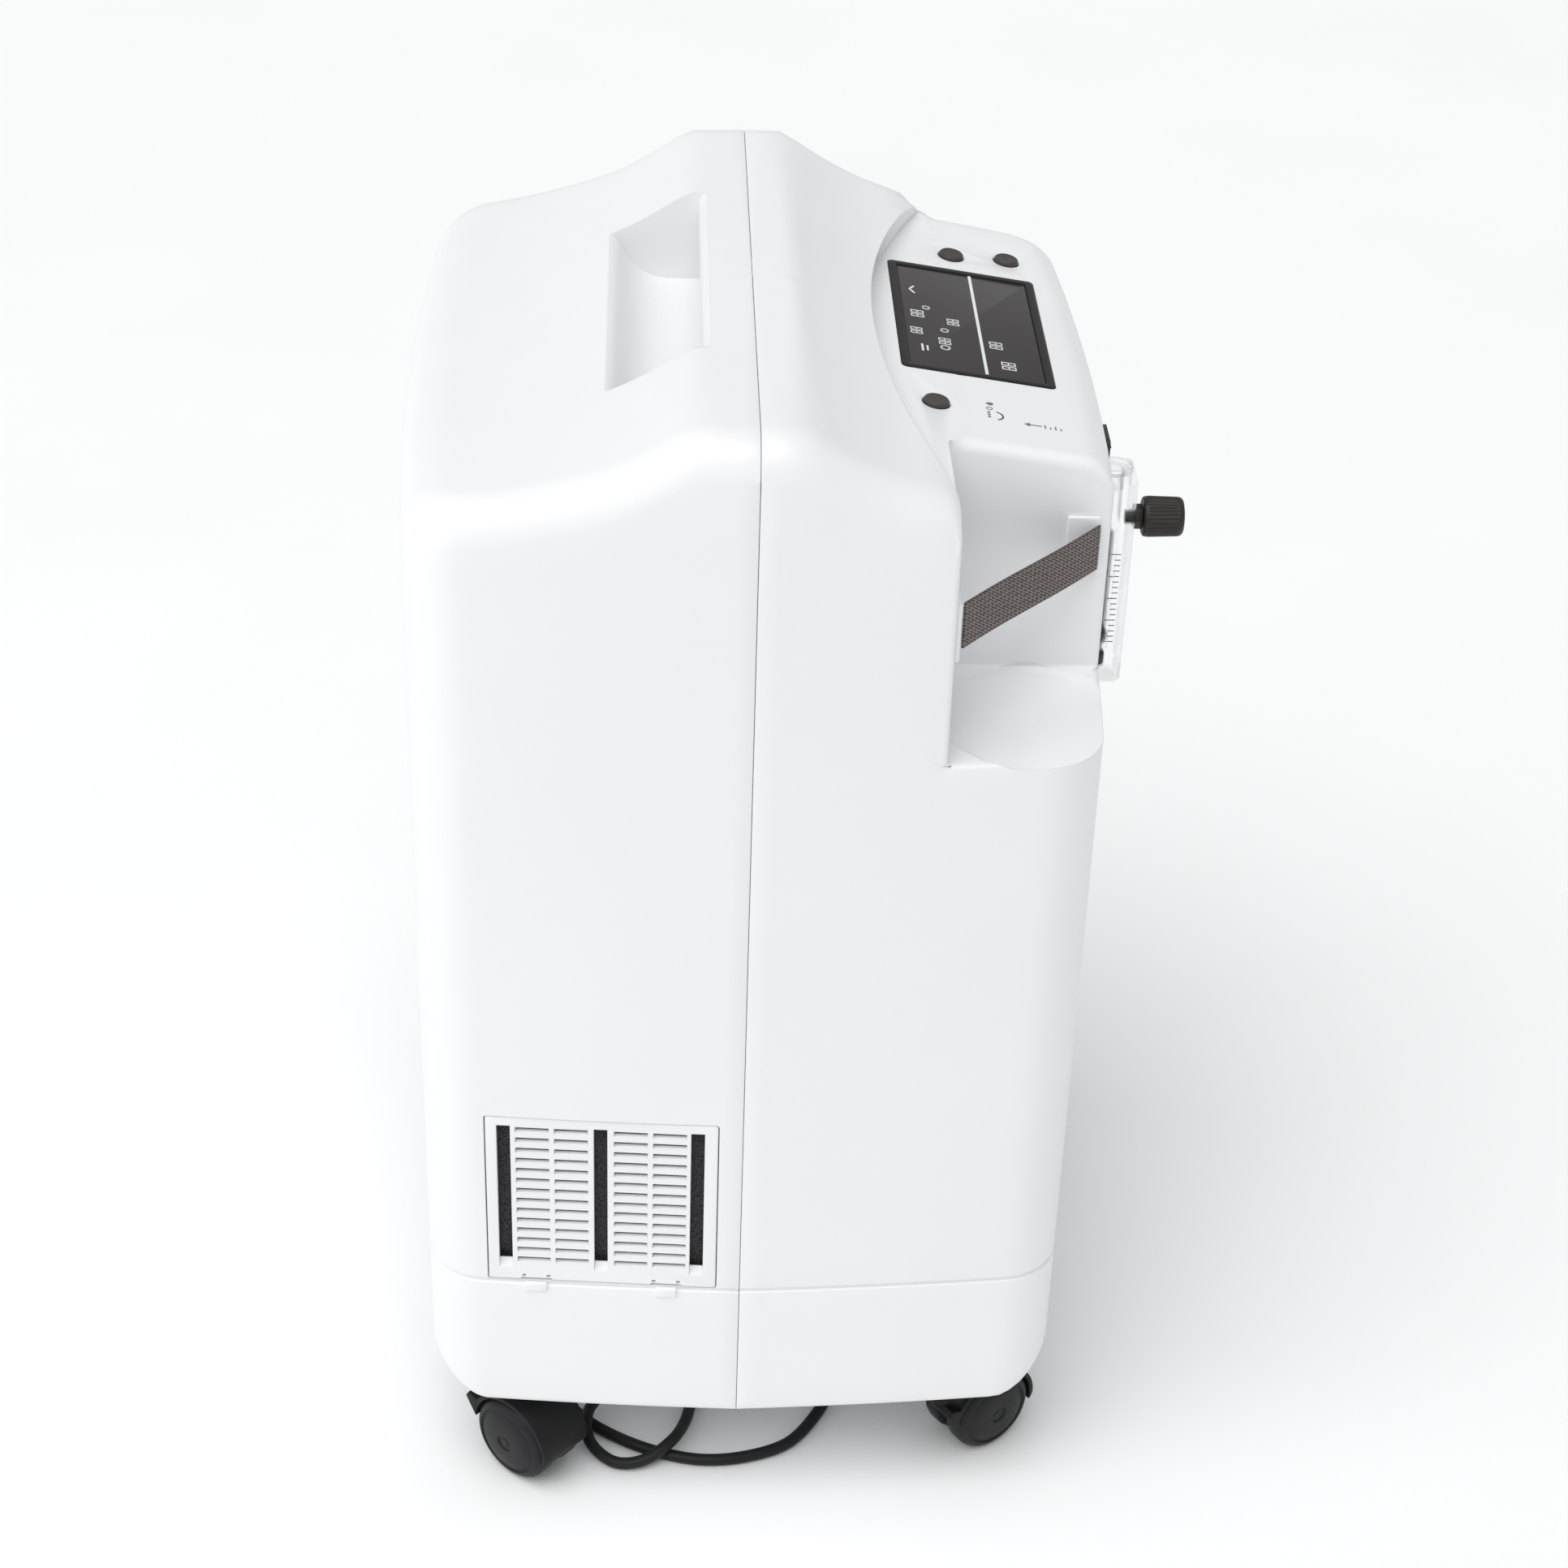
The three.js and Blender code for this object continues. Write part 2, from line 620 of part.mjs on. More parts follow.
// ---------------------------------------------------------------- flowmeter
const BORE_RADIUS = 5.4;
const flowmeterTopZ = FLOWMETER_FOOT_Z + FLOWMETER_SIZE[2];
const flowmeterY = FLOWMETER_FRONT_Y + FLOWMETER_SIZE[1] / 2;

function flowmeterBody() {
  const [w, d, h] = FLOWMETER_SIZE;
  const block = toSolid(
    prism(roundedRectangle(w, d, 4, FLOWMETER_X, flowmeterY), FLOWMETER_FOOT_Z, FLOWMETER_FOOT_Z + h, 3),
  );
  const bore = toSolid(
    bar(BORE_RADIUS, FLOWMETER_FOOT_Z + 14, flowmeterTopZ + 5, FLOWMETER_X, flowmeterY),
  );
  const valve = new THREE.CylinderGeometry(3.8, 3.8, 10, 16);
  valve.translate(FLOWMETER_X, FLOWMETER_FRONT_Y - 1, KNOB_Z);
  return cut(block, bore, toSolid(valve));
}
addPart('flowmeter_body', flowmeterBody(), ACRYLIC);

const capProfile = [[0, -9], [BORE_RADIUS - GAP, -9], [BORE_RADIUS - GAP, 0.3], [8, 0.3], [8, 2], [6, 3], [0, 3]];
const flowmeterCap = turned(capProfile, 20);
flowmeterCap.translate(FLOWMETER_X, flowmeterY, flowmeterTopZ);
addPart('flowmeter_cap', flowmeterCap, ACRYLIC);

const FLOAT_RADIUS = 4.4;
const float = turned(
  [[0, 0], [2, 0.4], [FLOAT_RADIUS, 5], [FLOAT_RADIUS, 8], [1.5, 9], [1.5, 12], [0, 12]],
  16,
);
float.translate(FLOWMETER_X, flowmeterY, FLOWMETER_FOOT_Z + 14 + GAP);
addPart('flowmeter_float', float, STEEL);

function alongFront(profile, segments = 24) {
  const geometry = turned(profile, segments);
  geometry.rotateX(Math.PI / 2);
  return geometry;
}

const knobBackY = KNOB_TIP_Y + KNOB_LENGTH;
const stem = alongFront([[0, 0], [3.4, 0], [3.4, 11], [0, 11]], 16);
stem.translate(FLOWMETER_X, FLOWMETER_FRONT_Y + 3.7, KNOB_Z);
addPart('flow_valve_stem', stem, BRASS);

function knob() {
  const profile = [
    [0, 3], [3.7, 3], [3.7, 0], [KNOB_RADIUS - 1, 0], [KNOB_RADIUS, 1],
    [KNOB_RADIUS, KNOB_LENGTH - 1.5], [KNOB_RADIUS - 1.5, KNOB_LENGTH], [0, KNOB_LENGTH],
  ];
  let solid = toSolid(alongFront(profile, 24));
  const ribs = 12;
  for (let i = 0; i < ribs; i += 1) {
    const angle = (2 * Math.PI * i) / ribs;
    const flute = new THREE.CylinderGeometry(1, 1, KNOB_LENGTH, 6);
    flute.translate(
      (KNOB_RADIUS + 0.4) * Math.cos(angle), -KNOB_LENGTH / 2 - 5, (KNOB_RADIUS + 0.4) * Math.sin(angle),
    );
    solid = solid.subtract(toSolid(flute));
  }
  const geometry = toGeometry(solid);
  geometry.translate(FLOWMETER_X, knobBackY, KNOB_Z);
  return geometry;
}
addPart('flow_knob', knob(), SOFT_BLACK);

// ---------------------------------------------------------------- oxygen outlet
const outletFloorY = frontFaceY(OUTLET_CENTRE[0]) + OUTLET_WELL_DEPTH;
const outlet = alongFront(
  [
    [0, 0], [9, 0], [9, 3], [5, 3], [5, 6], [3.2, 6], [4.2, 8], [3.2, 11],
    [4.2, 13], [3, 17], [1.6, 17], [1.6, 4], [0, 4],
  ],
  20,
);
outlet.translate(OUTLET_CENTRE[0], outletFloorY - GAP, OUTLET_CENTRE[1]);
addPart('oxygen_outlet', outlet, STEEL);

// ---------------------------------------------------------------- humidifier strap
const strapRear = new THREE.Vector2(-172, NOTCH_Y - 4.4);
const strapFront = new THREE.Vector2(NOTCH_X - 3.6, -167.5);
function strap() {
  const run = strapFront.clone().sub(strapRear);
  const geometry = new THREE.BoxGeometry(run.length(), STRAP_THICKNESS, STRAP_WIDTH);
  geometry.rotateZ(run.angle());
  const middle = strapRear.clone().add(strapFront).multiplyScalar(0.5);
  geometry.translate(middle.x, middle.y, STRAP_Z);
  return geometry;
}
addPart('humidifier_strap', strap(), STRAP_BROWN);

const ANCHOR_HEIGHT = 31;
const [anchorLow, anchorHigh] = [STRAP_Z - ANCHOR_HEIGHT / 2, STRAP_Z + ANCHOR_HEIGHT / 2];
const rearAnchor = boxBetween(
  [-180, NOTCH_Y - 2.6, anchorLow],
  [-164, NOTCH_Y - GAP, anchorHigh],
);
const frontAnchor = boxBetween(
  [NOTCH_X - 2.1, -168, anchorLow],
  [NOTCH_X - GAP, -152, anchorHigh],
);
addPart('strap_anchor_rear', rearAnchor, CABINET_WHITE);
addPart('strap_anchor_front', frontAnchor, CABINET_WHITE);

// ---------------------------------------------------------------- cabinet filter
const SLOT_PLACES = [-50.2, -0.5, 49.2];
const LOUVRE_COLUMNS = [-35.5, -15.6, 15, 35];
const LOUVRE_ROWS = 14;
const LOUVRE_PITCH = 6.7;
const LOUVRE_TOP = 46.7;

function filterCover() {
  const [w, h] = [GRILLE_SIZE[0] / 2, GRILLE_SIZE[1] / 2];
  let solid = toSolid(boxBetween([-WALL, -w, -h], [0, w, h]));
  for (const y of SLOT_PLACES) {
    solid = solid.subtract(toSolid(boxBetween([-9, y - 3.5, -41], [9, y + 3.5, 49])));
  }
  for (const y of LOUVRE_COLUMNS) {
    for (let row = 0; row < LOUVRE_ROWS; row += 1) {
      const z = LOUVRE_TOP - row * LOUVRE_PITCH;
      solid = solid.subtract(toSolid(boxBetween([-9, y - 8.5, z - 1.1], [9, y + 8.5, z + 1.1])));
    }
  }
  for (const y of [-34.5, 33.5]) {
    solid = solid.add(toSolid(boxBetween([-6, y - 7, -h], [-WALL + 1, y + 7, -h + 6])));
  }
  return ontoCoverSeat(toGeometry(solid));
}
addPart('filter_cover', filterCover(), CABINET_WHITE);

const foam = ontoCoverSeat(boxBetween([-18, -55, -47], [-7, 55, 51]));
addPart('filter_foam', foam, FOAM_GREY);

// ---------------------------------------------------------------- rear fittings
for (const [name, x, z] of SCREW_PLACES) {
  const screw = turned(
    [[0, 0], [SCREW_HEAD_RADIUS, 0], [SCREW_HEAD_RADIUS, 1.2], [2.5, 2], [0, 2]],
    16,
  );
  const shank = bar(1.9, -9, 0.5, 0, 0, 12);
  const whole = toGeometry(toSolid(screw).add(toSolid(shank)));
  whole.rotateX(-Math.PI / 2);
  whole.translate(x, rearFaceY(x) - 2.4 + GAP, z);
  addPart(name, whole, STEEL);
}

// ---------------------------------------------------------------- casters
// One caster in its own frame: stem on the z axis, wheels trailing towards +x.
const HOOD_TOP = BASE_Z - 2;
function casterHood() {
  const shape = new THREE.Shape();
  const crown = WHEEL_RADIUS + 2.4;
  shape.moveTo(-16, 36);
  shape.lineTo(WHEEL_TRAIL + crown * Math.cos(2.5), WHEEL_RADIUS + crown * Math.sin(2.5));
  shape.absarc(WHEEL_TRAIL, WHEEL_RADIUS, crown, 2.5, -0.35, true);
  shape.lineTo(WHEEL_TRAIL + 8, 22);
  shape.lineTo(WHEEL_TRAIL - 4, 17);
  shape.lineTo(-6, 22);
  shape.closePath();
  const web = prism(shape, -3.2, 3.2, 5);
  web.rotateX(Math.PI / 2);
  const collar = turned([[0, 36], [15, 36], [15, 50], [12, HOOD_TOP], [0, HOOD_TOP]], 14);
  const stemRod = bar(STEM_RADIUS, HOOD_TOP - 4, BASE_Z + 18, 0, 0, 10);
  const bore = new THREE.CylinderGeometry(4, 4, 20, 10);
  bore.translate(WHEEL_TRAIL, 0, WHEEL_RADIUS);
  const hoods = [-1, 1].map((side) => {
    const cover = new THREE.Shape();
    cover.absarc(WHEEL_TRAIL, WHEEL_RADIUS, WHEEL_RADIUS + 3.4, 2.6, 0.1, true);
    cover.absarc(WHEEL_TRAIL, WHEEL_RADIUS, WHEEL_RADIUS + 0.8, 0.1, 2.6, false);
    const strip = prism(cover, -7, 7, 4);
    strip.rotateX(Math.PI / 2);
    strip.translate(0, side * 9, 0);
    return toSolid(strip);
  });
  const wheelRoom = new THREE.CylinderGeometry(WHEEL_RADIUS + 0.7, WHEEL_RADIUS + 0.7, 60, 24);
  wheelRoom.translate(WHEEL_TRAIL, 0, WHEEL_RADIUS);
  const slab = toSolid(boxBetween([-30, -3.3, 0], [60, 3.3, HOOD_TOP]));
  const room = toSolid(wheelRoom).subtract(slab);
  const top = toSolid(collar).subtract(room);
  return cut(join(toSolid(web), top, ...hoods), toSolid(bore)).add(toSolid(stemRod));
}

function casterWheel(side) {
  const inner = 3.9;
  const outerEdge = inner + WHEEL_WIDTH;
  const r = WHEEL_RADIUS;
  const wheel = turned(
    [
      [3.3, inner], [r, inner], [r, outerEdge - 4], [r - 3, outerEdge],
      [3.3, outerEdge + 1.4], [3.3, inner],
    ],
    24,
  );
  wheel.rotateX(side * -Math.PI / 2);
  wheel.translate(WHEEL_TRAIL, 0, r);
  return wheel;
}

for (const [name, x, y, direction] of CASTERS) {
  const caster = new THREE.Group();
  caster.position.set(x, y, 0);
  caster.rotation.z = THREE.MathUtils.degToRad(direction);
  machine.add(caster);
  addPart(`caster_${name}_hood`, casterHood(), SOFT_BLACK, caster);
  const axle = new THREE.CylinderGeometry(3, 3, 38, 12);
  axle.translate(WHEEL_TRAIL, 0, WHEEL_RADIUS);
  addPart(`caster_${name}_axle`, axle, STEEL, caster);
  addPart(`caster_${name}_wheel_a`, casterWheel(1), TYRE_BLACK, caster);
  addPart(`caster_${name}_wheel_b`, casterWheel(-1), TYRE_BLACK, caster);
}

// ---------------------------------------------------------------- inside the cabinet
const FLOOR_Z = BASE_Z + TRAY_THICKNESS + GAP;

function compressor() {
  const motor = toSolid(bar(52, 0, 120, 0, 0, 28));
  const heads = [-1, 1].map((side) => {
    const head = new THREE.BoxGeometry(46, 56, 56);
    head.translate(side * 68, 0, 84);
    return toSolid(head);
  });
  const feet = toSolid(boxBetween([-60, -45, -6], [60, 45, 6]));
  return toGeometry(join(motor, ...heads, feet));
}
const compressorBlock = compressor();
compressorBlock.translate(10, 40, FLOOR_Z + 26);
addPart('compressor', compressorBlock, ALUMINIUM);

const mountPlate = boxBetween([-70, -20, FLOOR_Z], [90, 100, FLOOR_Z + 19]);
addPart('vibration_mount', mountPlate, SOFT_BLACK);

for (const [name, x] of [['sieve_bed_left', -52], ['sieve_bed_right', 52]]) {
  const bed = turned(
    [[0, 0], [34, 0], [38, 6], [38, 214], [34, 220], [8, 222], [8, 234], [0, 234]],
    24,
  );
  bed.translate(x, 62, FLOOR_Z + 180);
  addPart(name, bed, ALUMINIUM);
}

const tank = turned([[0, 0], [20, 3], [29, 14], [29, 166], [20, 177], [0, 180]], 24);
tank.translate(128, 40, FLOOR_Z + 200);
addPart('product_tank', tank, ALUMINIUM);

const partition = boxBetween([-150, -60, FLOOR_Z + 168], [150, 108, FLOOR_Z + 174]);
addPart('sound_partition', partition, CABINET_WHITE);

const manifold = join(
  toSolid(boxBetween([-70, -50, 0], [70, -12, 36])),
  ...[-45, -15, 15, 45].map((x) => toSolid(bar(9, 34, 58, x, -31, 16))),
);
const manifoldGeometry = toGeometry(manifold);
manifoldGeometry.translate(0, 4, FLOOR_Z + 200);
addPart('valve_manifold', manifoldGeometry, BRASS);

const FAN_CENTRE = [-75, -72];
const FAN_Z = FLOOR_Z + 8;
function fanHousing() {
  const frame = toSolid(boxBetween([-46, -46, 0], [46, 46, 25]));
  const throat = toSolid(bar(42, 3, 30, 0, 0, 28));
  const inlet = toSolid(bar(38, -2, 5, 0, 0, 28));
  const hub = toSolid(bar(14, 0, 5, 0, 0, 16));
  const spokes = [0, 1, 2].map((i) => {
    const spoke = boxBetween([10, -2, 0], [43, 2, 2.6]);
    spoke.rotateZ((i * 2 * Math.PI) / 3);
    return toSolid(spoke);
  });
  return toGeometry(join(cut(frame, throat, inlet), hub, ...spokes));
}
const housing = fanHousing();
housing.translate(...FAN_CENTRE, FAN_Z);
addPart('fan_housing', housing, FAN_BLACK);

function fanRotor() {
  const hub = toSolid(turned([[0, 0], [15, 0], [15, 14], [12, 17], [0, 17]], 20));
  const blades = [];
  for (let i = 0; i < 7; i += 1) {
    const blade = new THREE.BoxGeometry(27, 2, 15);
    blade.rotateX(0.7);
    blade.translate(26, 0, 8);
    blade.rotateZ((2 * Math.PI * i) / 7);
    blades.push(toSolid(blade));
  }
  return toGeometry(join(hub, ...blades));
}
const rotor = fanRotor();
rotor.translate(...FAN_CENTRE, FAN_Z + 6);
addPart('fan_rotor', rotor, FAN_BLACK);

const COIL_LOOPS = 5;
const exchangerPoints = [];
for (let i = 0; i < COIL_LOOPS; i += 1) {
  const z = FLOOR_Z + 52 + i * 14;
  const flip = i % 2 ? 1 : -1;
  exchangerPoints.push([-75 - flip * 36, -72, z], [-75 + flip * 36, -72, z]);
}
addPart('heat_exchanger', rodAlong(exchangerPoints, 3.5, 40, 6), COPPER);

const intake = turned([[0, 0], [26, 0], [28, 3], [28, 60], [22, 64], [9, 64], [9, 78], [0, 78]], 20);
intake.translate(-120, 70, FLOOR_Z + 190);
addPart('intake_filter', intake, CABINET_WHITE);

const boardLift = FLOOR_Z + 250;
const board = join(
  toSolid(boxBetween([-60, -2, 0], [90, 0, 110])),
  toSolid(boxBetween([-30, -22, 12], [15, -1, 50])),
  toSolid(boxBetween([30, -16, 60], [70, -1, 90])),
);
const boardGeometry = toGeometry(board);
boardGeometry.translate(20, -110, boardLift);
addPart('control_board', boardGeometry, BOARD_GREEN);

const capacitor = turned([[0, 0], [20, 0], [21, 2], [21, 82], [18, 86], [0, 86]], 20);
capacitor.translate(120, -75, FLOOR_Z + 2);
addPart('run_capacitor', capacitor, ALUMINIUM);

const regulator = join(
  toSolid(bar(16, 0, 30, 0, 0, 18)),
  toSolid(bar(11, 28, 50, 0, 0, 18)),
);
const regulatorGeometry = toGeometry(regulator);
regulatorGeometry.translate(40, -60, FLOOR_Z + 400);
addPart('pressure_regulator', regulatorGeometry, BRASS);

const supplyTube = rodAlong(
  [
    [52, 62, FLOOR_Z + 418], [52, 40, FLOOR_Z + 440], [40, -10, FLOOR_Z + 452],
    [40, -50, FLOOR_Z + 462], [0, -90, FLOOR_Z + 455], [-45, -130, FLOOR_Z + 440],
    [-70, -157, FLOOR_Z + 425],
  ],
  4, 26, 8,
);
addPart('product_tube', supplyTube, TUBE_CLEAR);

// ---------------------------------------------------------------- mains cord
// The gland hangs under the tray and points down and towards the left side at 45 degrees.
const GLAND_DROP = 12;
const SLEEVE_LENGTH = 26;
const glandOrigin = [GLAND_X, GLAND_Y, BASE_Z - GLAND_DROP];
const sleeve = turned(
  [[0, 0], [8, 0], [8, 3], [5.6, 4.5], [4.3, SLEEVE_LENGTH], [0, SLEEVE_LENGTH]],
  18,
);
sleeve.rotateY((-3 * Math.PI) / 4);
sleeve.translate(...glandOrigin);
const glandBoss = bar(12.6, BASE_Z - GLAND_DROP - 6, BASE_Z - GAP, GLAND_X, GLAND_Y, 6);
addPart('cord_gland', toSolid(glandBoss).add(toSolid(sleeve)), SOFT_BLACK);

const REACH = SLEEVE_LENGTH * Math.SQRT1_2;
const exitPoint = [GLAND_X - REACH, GLAND_Y, BASE_Z - GLAND_DROP - REACH];
const LIE = CORD_RADIUS + 0.1; // height of the cord's middle where it lies on the floor
const HOP = 3 * CORD_RADIUS + 1.1; // height of the cord's middle where it passes over itself
const CORD_ROUTE = [
  [exitPoint[0] - 0.3, exitPoint[1], exitPoint[2] - 0.3],
  [exitPoint[0] - 13, GLAND_Y, exitPoint[2] - 13],
  [exitPoint[0] - 30, GLAND_Y - 1, LIE + 6],
  [44, -61, LIE + 0.6],
  [20, -64, LIE],
  [-25, -68, LIE],
  [-70, -66, LIE],
  [-105, -58, LIE],
  [-132, -46, LIE],
  [-152, -30, LIE],
  [-162, -6, LIE],
  [-164, 18, LIE],
  [-158, 42, LIE],
  [-147, 64, LIE],
  [-131, 84, LIE],
  [-108, 99, LIE],
  [-82, 103, LIE],
  [-58, 92, LIE],
  [-48, 70, LIE],
  [-58, 48, LIE],
  [-80, 42, LIE + 0.5],
  [-100, 54, LIE + 2.5],
  [-116, 70, HOP - 0.6],
  [-134, 81, HOP],
  [-152, 80, LIE + 3],
  [-166, 66, LIE + 0.4],
  [-167, 50, LIE + 2.6],
  [-158, 35, HOP],
  [-140, 27, LIE + 4.4],
  [-116, 22, LIE + 0.6],
  [-85, 12, LIE],
  [-50, 0, LIE],
  [-15, -6, LIE],
  [20, -7, LIE],
  [37.5, -7, LIE],
];
addPart('cord_tube', rodAlong(CORD_ROUTE, CORD_RADIUS, 78, 8), SOFT_BLACK);

const [coilInner, coilOuter] = [-COIL_BUNDLE / 2, COIL_BUNDLE / 2].map((d) => COIL_MID_RADIUS + d);
const coilRing = turned(
  [[coilInner, 0.1], [coilOuter, 0.1], [coilOuter, COIL_BUNDLE], [coilInner, COIL_BUNDLE], [coilInner, 0.1]],
  32,
);
coilRing.translate(...COIL_CENTRE, 0);
addPart('cord_coil', coilRing, SOFT_BLACK);

function plug() {
  const body = toSolid(
    turned([[0, 0], [13.5, 0], [13.5, 14], [9, 26], [5.5, 30], [4, 44], [0, 44]], 20),
  );
  const blades = [-1, 1].map((side) =>
    toSolid(boxBetween([side * 6.35 - 0.8, -3.2, -17], [side * 6.35 + 0.8, 3.2, 1])),
  );
  const earth = toSolid(bar(2.4, -20, 1, 0, -9, 12));
  return toGeometry(join(body, ...blades, earth));
}
const plugGeometry = plug();
plugGeometry.rotateZ(Math.PI / 2);
plugGeometry.rotateY(Math.PI / 2);
plugGeometry.scale(1, 1, 0.74);
plugGeometry.translate(COIL_CENTRE[0] - 73.4, COIL_CENTRE[1] + COIL_MID_RADIUS, 10.3);
addPart('mains_plug', plugGeometry, SOFT_BLACK);

// ---------------------------------------------------------------- centre the outline
machine.position.y = -(KNOB_TIP_Y + REAR_DEPTH) / 2;
const concentrator = new THREE.Group();
concentrator.add(machine);
concentrator.updateMatrixWorld(true);

export default concentrator;
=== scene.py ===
"""Stationary oxygen concentrator on casters: the looks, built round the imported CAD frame.

Shapes are written in millimetres about the parting seam of the cabinet, with the floor at
z = 0 and the front towards -Y, and placed into the frame in metres when a mesh is made.
"""
import json
import math

import bmesh
import bpy
import numpy as np
from mathutils import Matrix, Vector


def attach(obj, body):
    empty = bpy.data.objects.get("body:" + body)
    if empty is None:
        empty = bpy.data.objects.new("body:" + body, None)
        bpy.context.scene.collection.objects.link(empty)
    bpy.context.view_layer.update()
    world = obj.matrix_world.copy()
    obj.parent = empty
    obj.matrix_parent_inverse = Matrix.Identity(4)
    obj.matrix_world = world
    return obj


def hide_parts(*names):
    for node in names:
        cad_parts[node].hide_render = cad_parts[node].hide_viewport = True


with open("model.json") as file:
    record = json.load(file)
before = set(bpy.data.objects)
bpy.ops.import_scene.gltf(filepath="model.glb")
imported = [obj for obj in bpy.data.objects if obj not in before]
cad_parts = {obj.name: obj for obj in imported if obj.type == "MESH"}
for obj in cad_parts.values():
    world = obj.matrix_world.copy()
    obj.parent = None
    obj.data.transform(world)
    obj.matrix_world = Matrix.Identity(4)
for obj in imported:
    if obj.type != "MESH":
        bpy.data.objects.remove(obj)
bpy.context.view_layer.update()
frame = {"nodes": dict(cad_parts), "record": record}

MM = 0.001
SEAM_Y = 21.0  # where the parting seam lies in the frame, in millimetres

# ------------------------------------------------------------------ driving dimensions
HALF_WIDTH = 190.0
CORNER_HALF_WIDTH = 181.0
FRONT_DEPTH = 176.0
REAR_DEPTH = 170.0
FACE_BOW = 6.0
CORNER_RADIUS = 32.0
BASE_Z = 64.0
WALL = 3.0
NOTCH = (-93.0, -92.0)
SHELF_Z = 479.0
SEAT = (-140.0, -137.0, 46.5, 3.0)
CONSOLE_SLOPE = 0.16
CONSOLE_REF = (-100.0, 603.5)
CONSOLE_TILT = math.atan(CONSOLE_SLOPE)
SCREEN_CENTRE = (42.0, -113.0)
SCREEN_SIZE = (125.0, 78.0)
BUTTONS = {
    "start_button": (-55.0, -89.0),
    "timer_button": (122.5, -109.5),
    "mode_button": (127.0, -139.5),
}
BUTTON_RADIUS = 6.4
FACE_REACH = 148.0  # half the width over which the front and rear faces bow
FLOWMETER_X = -70.0
FLOWMETER_SIZE = (28.0, 22.0, 113.0)
FLOWMETER_FRONT_Y = -187.0
FLOWMETER_FOOT_Z = 464.0
KNOB_Z = 551.6
SWITCH = (-30.0, 569.0, 21.0, 15.0)
OUTLET = (40.0, 540.0)
OUTLET_DEPTH = 24.0
STRAP_Z = 549.0
GRIP_HALF_WIDTH = 90.0
GRILLE = (119.0, 109.0)
GRILLE_PLACE = (-185.4, 72.0, 209.0)
GRILLE_YAW = math.radians(4)
CASTERS = {
    "rear_left": (-146.0, 126.0, 227.0),
    "front_left": (-146.0, -122.0, 305.0),
    "rear_right": (146.0, 126.0, 250.0),
    "front_right": (146.0, -122.0, 215.0),
}
WHEEL_RADIUS = 25.0
WHEEL_TRAIL = 18.0
CORD_RADIUS = 3.3
COIL_CENTRE = (66.0, 30.0)


def console_z(y):
    """Height of the console's plane."""
    return CONSOLE_REF[1] + CONSOLE_SLOPE * (y - CONSOLE_REF[0])


def front_face_y(x):
    return -FRONT_DEPTH + FACE_BOW * (x / FACE_REACH) ** 2


def rear_face_y(x):
    return REAR_DEPTH - FACE_BOW * (x / FACE_REACH) ** 2


def metres(x, y, z):
    """A place in the cabinet's millimetres as a point of the frame."""
    return Vector((x * MM, (y + SEAM_Y) * MM, z * MM))


# ------------------------------------------------------------------ camera
camera_data = bpy.data.cameras.new("camera")
camera_data.lens = 74.46
camera_data.sensor_width = 36
camera = bpy.data.objects.new("camera", camera_data)
bpy.context.scene.collection.objects.link(camera)
bpy.context.scene.camera = camera
look = Vector((0.8329, -0.0416, -0.5519)).normalized()
right = Vector((-0.0315, -0.9991, 0.0278))
right = (right - look * right.dot(look)).normalized()
up = right.cross(look)
turn = Matrix((right, up, -look)).transposed().to_4x4()
camera.matrix_world = Matrix.Translation((-1.4622, 0.0699, 1.3153)) @ turn


# ------------------------------------------------------------------ materials
def tree_of(name):
    """A new material with its nodes, its links and its shader."""
    material = bpy.data.materials.new(name)
    material.use_nodes = True
    nodes, links = material.node_tree.nodes, material.node_tree.links
    return material, nodes, links, nodes["Principled BSDF"]


def dial(node, values):
    """Sets the values of a node's sockets by their names or numbers."""
    for socket, value in values.items():
        node.inputs[socket].default_value = value


def places_of(nodes, links, stretch=None):
    """The object's own coordinates, stretched where asked."""
    source = nodes.new("ShaderNodeTexCoord").outputs["Object"]
    if not stretch:
        return source
    mapping = nodes.new("ShaderNodeMapping")
    dial(mapping, {"Scale": stretch})
    links.new(source, mapping.inputs["Vector"])
    return mapping.outputs["Vector"]


def noise_of(nodes, links, scale, detail=2.0, stretch=None):
    noise = nodes.new("ShaderNodeTexNoise")
    dial(noise, {"Scale": scale, "Detail": detail})
    links.new(places_of(nodes, links, stretch), noise.inputs["Vector"])
    return noise.outputs["Fac"]


def spread(nodes, links, source, low, high, start=0.3, end=0.7):
    """Maps start..end of a source to low..high."""
    ranged = nodes.new("ShaderNodeMapRange")
    dial(ranged, {"From Min": start, "From Max": end, "To Min": low, "To Max": high})
    links.new(source, ranged.inputs["Value"])
    return ranged.outputs["Result"]


def two_tones(nodes, links, factor, first, second):
    ramp = nodes.new("ShaderNodeValToRGB")
    for element, position, colour in zip(ramp.color_ramp.elements, (0.3, 0.7), (first, second)):
        element.position = position
        element.color = (*colour, 1)
    links.new(factor, ramp.inputs["Fac"])
    return ramp.outputs["Color"]


def bump_of(nodes, links, height, shader, strength, distance):
    """Drives the shader's normal by a height, and returns the bump node."""
    bump = nodes.new("ShaderNodeBump")
    dial(bump, {"Strength": strength, "Distance": distance})
    links.new(height, bump.inputs["Height"])
    links.new(bump.outputs["Normal"], shader.inputs["Normal"])
    return bump


